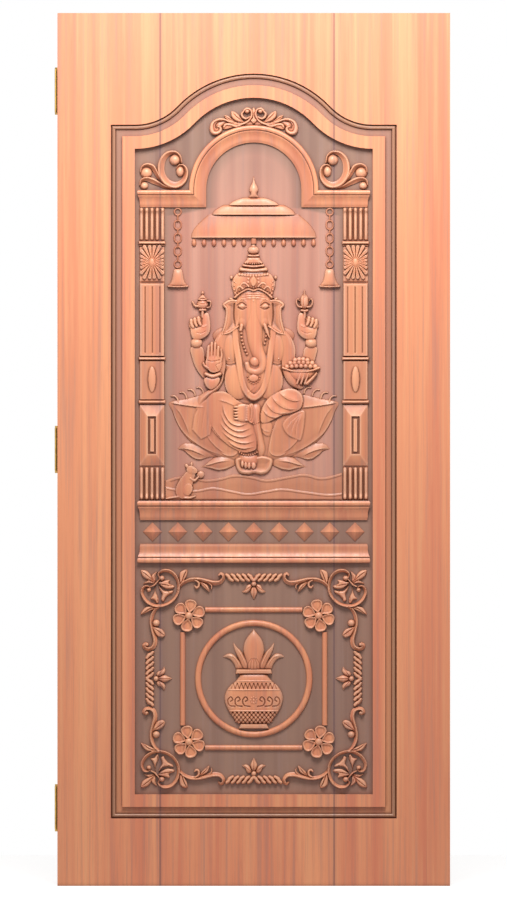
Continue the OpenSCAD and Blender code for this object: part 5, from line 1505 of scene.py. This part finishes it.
class DOOR_OT_foreground(bpy.types.Operator):
    """Carve the low hills with the mouse"""
    bl_idname = "temple_door.foreground"
    bl_label = "Foreground"

    def execute(self, context):
        low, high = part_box("foreground")
        high = high.copy()
        # The mouse's head stands above the hills
        high.z = low.z + 38.6 * UNIT
        r = Relief(177, 39, sheet_step(UNIT))
        unit = BODY_SHEET[0]
        r.sheet(unit, -1.2, -114.4 * unit)
        far = spline(np.array([(1, 130.6), (10, 127.6), (22, 126.6), (36, 129.6), (50, 127.8), (60, 125.2),
                               (74, 126.4), (88, 129.6), (104, 127), (120, 124.6), (133, 127.6),
                               (142, 126.6), (152.6, 123.6)]), 1.0)
        near = spline(np.array([(1, 135.6), (12, 137.6), (27, 138.6), (42, 136.2), (58, 139), (72, 141.4),
                                (88, 139), (101, 137.2), (120, 139.6), (140, 142), (152.6, 141)]), 1.0)
        for hill, height in ((far, 0.3), (near, 0.5)):
            r.shape([*hill, (152.6, 148), (1, 148)], height, 2.4, 0.1, smooth=False)
            r.fold([(x, y + 2.4) for x, y in hill[::-8]], 6, -0.17, 0.01)
        r.strand([(2, 146.4), (7, 145.6), (13, 144.6)], [2, 2.8, 3.6], 0.8)
        r.swell([(21, 121.6), (15.4, 127), (11, 134.6), (9.8, 141), (13, 146), (19, 146.6), (23, 142),
                 (24.6, 134), (26.4, 128), (26, 122.6)], 0.86, 0.6)
        r.swell([(19.2, 120), (22, 117.4), (26, 118.6), (29, 122), (27.5, 124.6), (23, 125.4), (20, 123.4)],
                0.94, 0.62)
        r.blob((19.6, 118), 1.6, 2.5, 0.9, 0.3, -25)
        r.blob((23.6, 116.4), 1.3, 2.3, 0.86, 0.3)
        r.strand([(22.6, 128.6), (26, 130.6), (29.4, 127.6)], [3.6, 3.2, 2.4], 1.0)
        r.blob((31.4, 125.4), 3.4, 3.4, 1.0, 0.3)
        r.blob((20.4, 138.6), 4.2, 5.4, 1.0, 0.82, 20)
        r.blob((25, 120.6), 0.8, 0.8, 1.0, 0.9)
        r.strand([(17.6, 145.6), (22, 145.8), (26.6, 144.4)], [3.4, 3.2, 2.2], 0.98)
        piece("foreground_carving", r.cut_out("foreground_carving", (low, high)), "foreground")
        return {"FINISHED"}


class DOOR_OT_corner_scrolls(bpy.types.Operator):
    """Carve the scrolls in the corners of the lower panel"""
    bl_idname = "temple_door.corner_scrolls"
    bl_label = "Corner Scrolls"

    def execute(self, context):
        r = Relief(150, 157, sheet_step(1.427 * MM, 0.85))
        r.shape([(6.6, 10.6), (15, 11), (22, 16.6), (27, 26), (33, 34), (24, 30), (15, 26), (8.4, 20)], 0.6,
                4)
        r.shape([(24, 20), (33.4, 12.6), (31.6, 21), (31, 31), (26, 27)], 0.5, 3)
        r.shape([(19, 28), (10.6, 34.4), (20, 33.4), (31, 34.4), (25, 29.6)], 0.5, 3)
        r.line([(9, 13), (19, 21), (31, 33)], 1.5, 0.16)
        r.line([(32, 15), (28.6, 22), (30, 31)], 1.3, 0.1)
        r.line([(13, 33.2), (21, 31), (30, 33)], 1.3, 0.1)
        r.shape([(35, 32), (45, 28.6), (54.6, 27.6), (53.6, 34), (62.4, 38), (60, 42.6), (50, 43.6),
                 (41, 40)], 0.6, 3.6)
        r.shape([(36, 37), (44, 45.6), (52, 46.6), (60.4, 45.8), (59, 50.4), (52.4, 54), (47, 60),
                 (44.6, 65.6), (39.6, 62.4), (41.6, 52), (37.6, 45)], 0.66, 3.6)
        r.shape([(31, 35), (31.4, 48), (35.6, 58), (36.4, 66.6), (33, 68.8), (28.6, 62.6), (22.4, 60.8),
                 (26, 55.4), (29, 47)], 0.6, 3.6)
        for tip in ((57, 38), (53, 49), (34, 64)):
            r.line([(34, 34), ((34 + tip[0]) / 2 + 1, (34 + tip[1]) / 2), tip], 1.5, 0.18)
        r.strand([(37, 27), (33, 32), (29, 36.4), (23, 39.4)], [2.6, 3.4, 3.4, 2.6], 0.7)
        r.strand([(37.4, 23), (36.4, 17), (44, 11.6), (55, 13), (64, 21.4), (68.4, 34), (68, 48), (62, 60),
                  (52, 68.6), (40, 72.6), (27, 71.6), (15.4, 64), (9.2, 53), (9.4, 45), (13, 39.6),
                  (19, 39.4), (22, 44)],
                 [3, 4.6, 6, 6.4, 6, 5.4, 5.2, 5.2, 5.4, 5.8, 6, 6, 5.6, 5.2, 5, 4, 3],
                 [0.8, 0.9, 0.95, 0.9, 0.9, 0.9, 0.85, 0.8], left_crest)
        r.blob((41, 24.6), 5, 4.8, 1.0)
        r.blob((20, 45), 4, 4, 0.95)
        r.shape([(69.4, 24), (71, 15), (76.6, 10.4), (83.4, 9.8), (83, 19), (79, 28), (74, 37.4), (70, 31)],
                0.66, 3)
        r.line([(82, 11), (77.4, 21), (73, 35)], 1.6, 0.2)
        r.shape([(39, 73.6), (30, 78.6), (19, 83.6), (7, 88.6), (8.6, 82), (14, 75.4), (22, 72.6),
                 (31, 72.4)], 0.66, 3)
        r.line([(37, 74.4), (22, 77.6), (9.4, 86.6)], 1.6, 0.2)
        r.strand([(68, 47), (71.6, 38), (79.6, 31), (90, 27.2), (102, 27.4), (114, 30.4), (126, 33.2),
                  (136.4, 32), (142, 26), (142.4, 20), (138.6, 16.6), (135.4, 19)],
                 [4, 5.8, 6.6, 7.4, 8.2, 9.2, 9.2, 7.9, 6.6, 5.8, 5.3, 4], [0.7, 0.75, 0.85, 0.9, 0.9, 0.85],
                 left_crest)
        r.strand([(96, 28), (101.6, 32), (102, 38.4), (98.4, 41), (95.6, 38.4)], [3.4, 4.8, 4.8, 4.8, 3.4],
                 0.75)
        r.shape([(103, 30), (111.6, 33), (118, 38.4), (119.8, 48.8), (112.6, 43.6), (106.4, 37.4)], 0.66,
                2.6)
        r.line([(104.4, 31.4), (111.6, 38), (118.6, 47)], 1.5, 0.16)
        r.strand([(107, 29.4), (117, 31.6), (123, 38), (122.4, 44.4)], [2.6, 3.4, 3.4, 1.8], 0.6)
        r.strand([(40, 73), (31, 79.6), (25.6, 90), (24.2, 102), (26.2, 114), (29.4, 126), (30.4, 136),
                  (27.6, 144.6), (20.6, 148.4), (14, 146.6), (11.8, 141.4), (15, 138)],
                 [4, 5.8, 6.6, 7.1, 7.4, 7.9, 7.9, 7.9, 7.4, 6.6, 5.8, 4], [0.7, 0.75, 0.85, 0.9, 0.9, 0.85],
                 right_crest)
        r.blob((16.4, 140.6), 3.8, 3.8, 0.9)
        r.blob((32, 103), 6.4, 6.4, 0.9)
        r.shape([(26.4, 109.6), (34.6, 110.6), (42.6, 114.6), (47, 123.4), (42.4, 128.4), (34, 126),
                 (28.6, 118.6)], 0.66, 3)
        r.line([(28, 111), (36, 117), (45, 124)], 1.5, 0.16)
        carving(r, corners("corner_scroll"), "foot_shaded")
        return {"FINISHED"}


class DOOR_OT_ropes(bpy.types.Operator):
    """Carve the twisted bars and the three-petalled drops beside them"""
    bl_idname = "temple_door.ropes"
    bl_label = "Rope Bars"

    def execute(self, context):
        lobes = settings().rope_lobes
        # One lobe of the twist, along the bar and across it, and the left or right petal of the drop
        lobe = ((-0.62, -2.9), (-0.1, -0.9), (0.1, 1.1), (0.5, 2.9))
        petal = ((1.6, 12), (4.6, 10.6), (7.6, 12.4), (9, 16), (12.4, 18.6), (8, 20), (4.4, 18), (2.6, 14.6))
        for node in ("top_rope", "bottom_rope", "left_rope", "right_rope"):
            low, high = (corner.copy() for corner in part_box(node))
            upright = node[0] in "lr"
            long_px = (high.z - low.z if upright else high.x - low.x) / UNIT
            r = Relief(long_px, 27, sheet_step(UNIT, 0.6))
            mid = long_px / 2
            step = mid / lobes
            # The upright bars are twisted the other way
            lean = -1 if upright else 1
            for side in (-1, 1):
                for i in range(lobes):
                    x = mid + side * (i + 0.5) * step
                    r.strand([(x + side * step * along, 4.1 - lean * out) for along, out in lobe],
                             [3.6, 4.6, 4.6, 3.6], 0.95)
                r.swell([(mid + side * x, y) for x, y in petal], 0.74)
                r.line([(mid + side * 2.4, 12.4), (mid + side * 6, 15), (mid + side * 11, 18.6)], 1.0, 0.14)
            r.blob((mid, 10.4), 2.7, 2.7, 1.0, 0.3)
            r.swell([(mid, 12), (mid + 2.6, 15), (mid + 3.8, 19), (mid + 2, 23.4), (mid, 26.6),
                     (mid - 2, 23.4), (mid - 3.8, 19), (mid - 2.6, 15)], 0.82)
            r.line([(mid, 13.6), (mid, 25)], 1.0, 0.16)
            if upright:
                r = self.quarter_turn(r)
            # Each bar stands a little further in than its solid, clear of the panel's edge
            inward = {"top_rope": (0, -1), "bottom_rope": (0, 1), "left_rope": (1, 0),
                      "right_rope": (-1, 0)}[node]
            for corner in (low, high):
                corner.x += inward[0] * 9 * MM
                corner.z += inward[1] * 8 * MM
            name = node + "_carving"
            piece(name, r.cut_out(name, (low, high), node == "right_rope", node != "top_rope"), node,
                  "foot_shaded")
        return {"FINISHED"}

    def quarter_turn(self, r):
        """The same carving with its length upright, its drop pointing right."""
        turned = Relief(1, 1, r.step)
        turned.tall, turned.inside = r.tall.T.copy(), r.inside.T.copy()
        turned.across, turned.down = r.down, r.across
        turned.x, turned.y = np.meshgrid(turned.across, turned.down)
        return turned


class DOOR_OT_rails(bpy.types.Operator):
    """Bend the ring and lay the four rods"""
    bl_idname = "temple_door.rails"
    bl_label = "Ring And Rods"

    def execute(self, context):
        low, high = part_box("ring")
        middle = (low.z + high.z) / 2
        tube = high.y - low.y
        radius = (high.x - low.x) / 2 - tube
        ring = [(x, FLOOR_Y, z) for x, z in arc(0, middle, radius, 0, 360, 129)[:-1]]
        self.rail("ring", ring, True, tube, tube)
        for side in ("top", "bottom", "left", "right"):
            node = side + "_rod"
            low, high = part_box(node)
            x, z = (low.x + high.x) / 2, (low.z + high.z) / 2
            upright = high.z - low.z > high.x - low.x
            if upright:
                ends, wide = [(x, FLOOR_Y, low.z), (x, FLOOR_Y, high.z)], (high.x - low.x) / 2
            else:
                ends, wide = [(low.x, FLOOR_Y, z), (high.x, FLOOR_Y, z)], (high.z - low.z) / 2
            self.rail(node, ends, False, wide, high.y - low.y)
        return {"FINISHED"}

    def rail(self, node, path, closed, radius, height):
        """One rail along a path on the ground, as wide and high as given."""
        mesh = bpy.data.meshes.new(node)
        count = len(path)
        mesh.from_pydata(path, [(i, (i + 1) % count) for i in range(count if closed else count - 1)], [])
        made = outward(grow("rail", mesh, Radius=radius, Height=height, Material=finish("foot_shaded")))
        made.shade_smooth()
        made.set_sharp_from_angle(angle=math.radians(50))
        piece(node + "_rail", made, node, "foot_shaded")


class DOOR_OT_flowers(bpy.types.Operator):
    """Carve the six-petalled flowers at the corners of the rods"""
    bl_idname = "temple_door.flowers"
    bl_label = "Flowers"

    def execute(self, context):
        r = Relief(34, 34, sheet_step(UNIT, 0.65))
        petal = ((3.0, 0), (5.4, -3.1), (9.4, -5.7), (13.4, -5.9), (16.4, -2.8), (16.4, 2.8), (13.4, 5.9),
                 (9.4, 5.7), (5.4, 3.1))
        for i in range(6):
            a = math.radians(10 + 60 * i)
            u, v = (math.sin(a), -math.cos(a)), (math.cos(a), math.sin(a))
            outline = [(17 + u[0] * p + v[0] * q, 17 + u[1] * p + v[1] * q) for p, q in petal]
            r.shape(outline, 0.78, 1.0, 0.2, rim=0.4)
        r.blob((17, 17), 4.4, 4.4, 1.0, 0.3)
        carving(r, corners("flower"), "foot_shaded")
        return {"FINISHED"}


class DOOR_OT_pot(bpy.types.Operator):
    """Carve the pot with the coconut and its leaves"""
    bl_idname = "temple_door.pot"
    bl_label = "Pot"

    def execute(self, context):
        r = Relief(61, 101, sheet_step(UNIT, 0.7))
        mid = 30.5

        def leaf(points):
            """Points of a leaf on one side, set off from the middle."""
            return [(mid + side * x, y) for x, y in points]

        for side in (-1, 1):
            r.swell(leaf([(10, 41), (13, 34.8), (17.2, 29.8), (22, 25.4), (27.8, 25.3), (32, 28.6),
                          (27.8, 29.6), (23.6, 32), (20.4, 36.4), (18, 41)]), 0.5)
            r.fold(leaf([(14, 40), (17.4, 33.4), (22, 28.4), (30, 28.2)])[::side], 3.4, 0.12)
            r.swell(leaf([(4, 41), (5.6, 33.2), (9, 28.2), (13, 22.6), (17.2, 19), (21.2, 14.2), (20.6, 20),
                          (18.4, 25.8), (15.2, 32.4), (11, 41)]), 0.6)
            r.fold(leaf([(8, 40), (10.4, 33), (14.6, 25), (20.6, 16)])[::side], 3.4, 0.12)
        r.swell(both_sides(mid, [(0, 0), (1.6, 2.6), (4.4, 5.6), (8.5, 11), (10.5, 16.6), (11, 22.4),
                                 (9.8, 29.8), (8, 36), (7, 42)]), 0.86)
        for x in (-6, -3, 0, 3, 6):
            r.line([(mid + x * 0.4, 30), (mid + x, 35), (mid + x * 1.1, 40)], 1.0, 0.07)
        r.swell(both_sides(mid, [(13.6, 45), (15, 47.4), (19, 52.6), (24, 56.4), (28, 61.3), (30.4, 67.1),
                                 (30.7, 71.3), (29.2, 77.1), (26.4, 82.9), (21.4, 89.5), (15.6, 95.3)]), 0.9)
        r.shape(both_sides(mid, [(18.2, 40.6), (19.4, 45.6)]), 0.84, 1.4, smooth=False)
        r.shape(both_sides(mid, [(13.6, 95.4), (16.2, 100.6)]), 0.7, 1.4, smooth=False)
        self.bands(r, mid)
        carving(r, single("pot"))
        return {"FINISHED"}

    def bands(self, r, mid):
        """The ornament on the belly: raised lines, a zigzag, scrolls with a flower, and a studded foot."""
        for y, half in ((52.6, 18), (61.4, 26.6), (82.6, 25)):
            r.line([(mid - half, y), (mid, y), (mid + half, y)], 1.9, -0.1)
        for i in range(11):
            x = mid + (i - 5) * 4.3
            for side in (-1, 1):
                r.line([(x, 55), (x + side * 2.1, 60)], 1.3, 0.13)
        for i in range(8):
            a = math.radians(45 * i)
            r.blob((mid + 3 * math.sin(a), 71.7 - 3 * math.cos(a)), 1.2, 1.2, 1.0, 0.86)
        r.blob((mid, 71.7), 1.3, 1.3, 1.0, 0.86)
        for side in (-1, 1):
            for x in (9, 17, 24.6):
                r.line([(mid + side * (x - 5), 78), (mid + side * (x + 1), 77), (mid + side * (x + 2.6), 72),
                        (mid + side * (x - 0.6), 68.6), (mid + side * (x - 2.6), 71.4),
                        (mid + side * (x - 0.4), 73)], 1.7, 0.16)
        for k in range(-6, 7):
            for lean in (-5, 5):
                r.line([(mid + 4.4 * k + lean, 83.6), (mid + 4.4 * k - lean, 95)], 1.5, 0.16)


class DOOR_OT_hinges(bpy.types.Operator):
    """Finish the brass hinges and their screws"""
    bl_idname = "temple_door.hinges"
    bl_label = "Hinges"

    def execute(self, context):
        for name in ("bottom", "middle", "top"):
            for part in ("door_flap", "frame_flap", "pin"):
                paint(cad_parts[f"{name}_hinge_{part}"], "brass")
        paint(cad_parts["hinge_screws"], "brass")
        return {"FINISHED"}


class DOOR_OT_stage(bpy.types.Operator):
    """Set the pale floor, the lights and the camera of the front view"""
    bl_idname = "temple_door.stage"
    bl_label = "Stage"

    def execute(self, context):
        scene = context.scene
        scene.view_settings.view_transform = "Standard"
        self.floor(scene)
        self.world(scene)
        self.lamp(scene)
        self.camera(scene)
        return {"FINISHED"}

    def seen_rays(self, tree):
        """1 for a ray that comes from the camera or by a reflection, 0 for light that falls on things."""
        rays = add_node(tree, "ShaderNodeLightPath").outputs
        seen = rays["Is Camera Ray"]
        for ray in ("Is Glossy Ray", "Is Transmission Ray"):
            seen = add_node(tree, "ShaderNodeMath", {0: seen, 1: rays[ray]}, operation="MAXIMUM").outputs[0]
        return seen

    def floor(self, scene):
        """A pale painted floor that keeps the door's shadow."""
        mesh = bpy.data.meshes.new("floor")
        mesh.from_pydata([(-4, -4, 0), (4, -4, 0), (4, 1.5, 0), (-4, 1.5, 0)], [], [(0, 1, 2, 3)])
        material, tree, shader = new_material("painted_floor", 0.8)
        place = add_node(tree, "ShaderNodeTexCoord").outputs["Object"]
        mottle = add_node(tree, "ShaderNodeTexNoise", {0: place, "Scale": 6.0}).outputs["Fac"]
        colour = add_node(tree, "ShaderNodeMix", {0: mottle, 6: rgba("#B4B4B4"), 7: rgba("#AEAEAE")},
                          data_type="RGBA")
        tree.links.new(colour.outputs[2], shader.inputs["Base Color"])
        # Seen directly or in a reflection the floor is lifted to white, and still shows the shadow on it
        lift = add_node(tree, "ShaderNodeMath", {0: self.seen_rays(tree), 1: 0.78},
                        operation="MULTIPLY").outputs[0]
        shader.inputs["Emission Color"].default_value = (1, 1, 1, 1)
        tree.links.new(lift, shader.inputs["Emission Strength"])
        mesh.materials.append(material)
        obj = bpy.data.objects.new("floor", mesh)
        scene.collection.objects.link(obj)
        obj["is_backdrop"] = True

    def world(self, scene):
        """White where it is seen directly or in a reflection, and a soft fill on everything else."""
        world = bpy.data.worlds.new("studio")
        scene.world = world
        world.use_nodes = True
        tree = world.node_tree
        tree.nodes.clear()
        white = add_node(tree, "ShaderNodeBackground", {"Color": (1, 1, 1, 1), "Strength": 1.0})
        fill = add_node(tree, "ShaderNodeBackground", {"Color": rgba("#FFF6F0"), "Strength": 0.22})
        mixed = add_node(tree, "ShaderNodeMixShader", {0: self.seen_rays(tree), 1: fill.outputs[0],
                                                       2: white.outputs[0]})
        add_node(tree, "ShaderNodeOutputWorld", {0: mixed.outputs[0]})

    def lamp(self, scene):
        """One broad soft lamp, high in front of the door, so that the light falls off towards its foot."""
        light = bpy.data.lights.new("key", "AREA")
        light.shape = "DISK"
        light.size = 1.2
        light.energy = 72
        obj = bpy.data.objects.new("key", light)
        obj.location = (0, -1.75, 3)
        aim = Vector((0, 0, 1.2))
        obj.rotation_euler = (obj.location - aim).to_track_quat("Z", "Y").to_euler()
        scene.collection.objects.link(obj)

    def camera(self, scene):
        """A long lens, level with the door's middle, that shows a little ground above and below the door."""
        picture_h, below_middle = 900 * UNIT, 435.5 * UNIT
        distance = 20.0
        camera = bpy.data.cameras.new("front")
        camera.sensor_width = 36
        camera.sensor_height = 36
        camera.sensor_fit = "VERTICAL"
        camera.lens = camera.sensor_height * distance / picture_h
        camera.clip_end = 100
        obj = bpy.data.objects.new("front", camera)
        obj.location = (-0.6 * MM, -distance, below_middle)
        obj.rotation_euler = (math.radians(90), 0, 0)
        scene.collection.objects.link(obj)
        scene.camera = obj


OPERATORS = (DOOR_OT_boards, DOOR_OT_panel_mouldings, DOOR_OT_cornices, DOOR_OT_diamonds, DOOR_OT_pilasters,
             DOOR_OT_rosettes, DOOR_OT_scrollwork, DOOR_OT_canopy, DOOR_OT_chains, DOOR_OT_figure,
             DOOR_OT_foreground, DOOR_OT_corner_scrolls, DOOR_OT_ropes, DOOR_OT_rails, DOOR_OT_flowers,
             DOOR_OT_pot, DOOR_OT_hinges, DOOR_OT_stage)


class DOOR_PT_panel(bpy.types.Panel):
    """Lists the door's settings and the steps that dress it"""
    bl_idname = "DOOR_PT_panel"
    bl_label = "Temple Door"
    bl_space_type = "VIEW_3D"
    bl_region_type = "UI"
    bl_category = "Temple Door"

    def draw(self, context):
        for name in DoorSettings.__annotations__:
            self.layout.prop(settings(), name)
        for operator in OPERATORS:
            self.layout.operator(operator.bl_idname)


CLASSES = (DoorSettings, *OPERATORS, DOOR_PT_panel)


def register():
    for cls in CLASSES:
        bpy.utils.register_class(cls)
    bpy.types.Scene.temple_door = bpy.props.PointerProperty(type=DoorSettings)


def unregister():
    del bpy.types.Scene.temple_door
    for cls in reversed(CLASSES):
        bpy.utils.unregister_class(cls)


def main():
    register()
    for operator in OPERATORS:
        group, name = operator.bl_idname.split(".")
        getattr(getattr(bpy.ops, group), name)()
    boxes = {"cad": CAD_BOX, "visual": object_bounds()}
    {name: [list(corner) for corner in box] for name, box in boxes.items()}


if __name__ == "__main__":
    main()
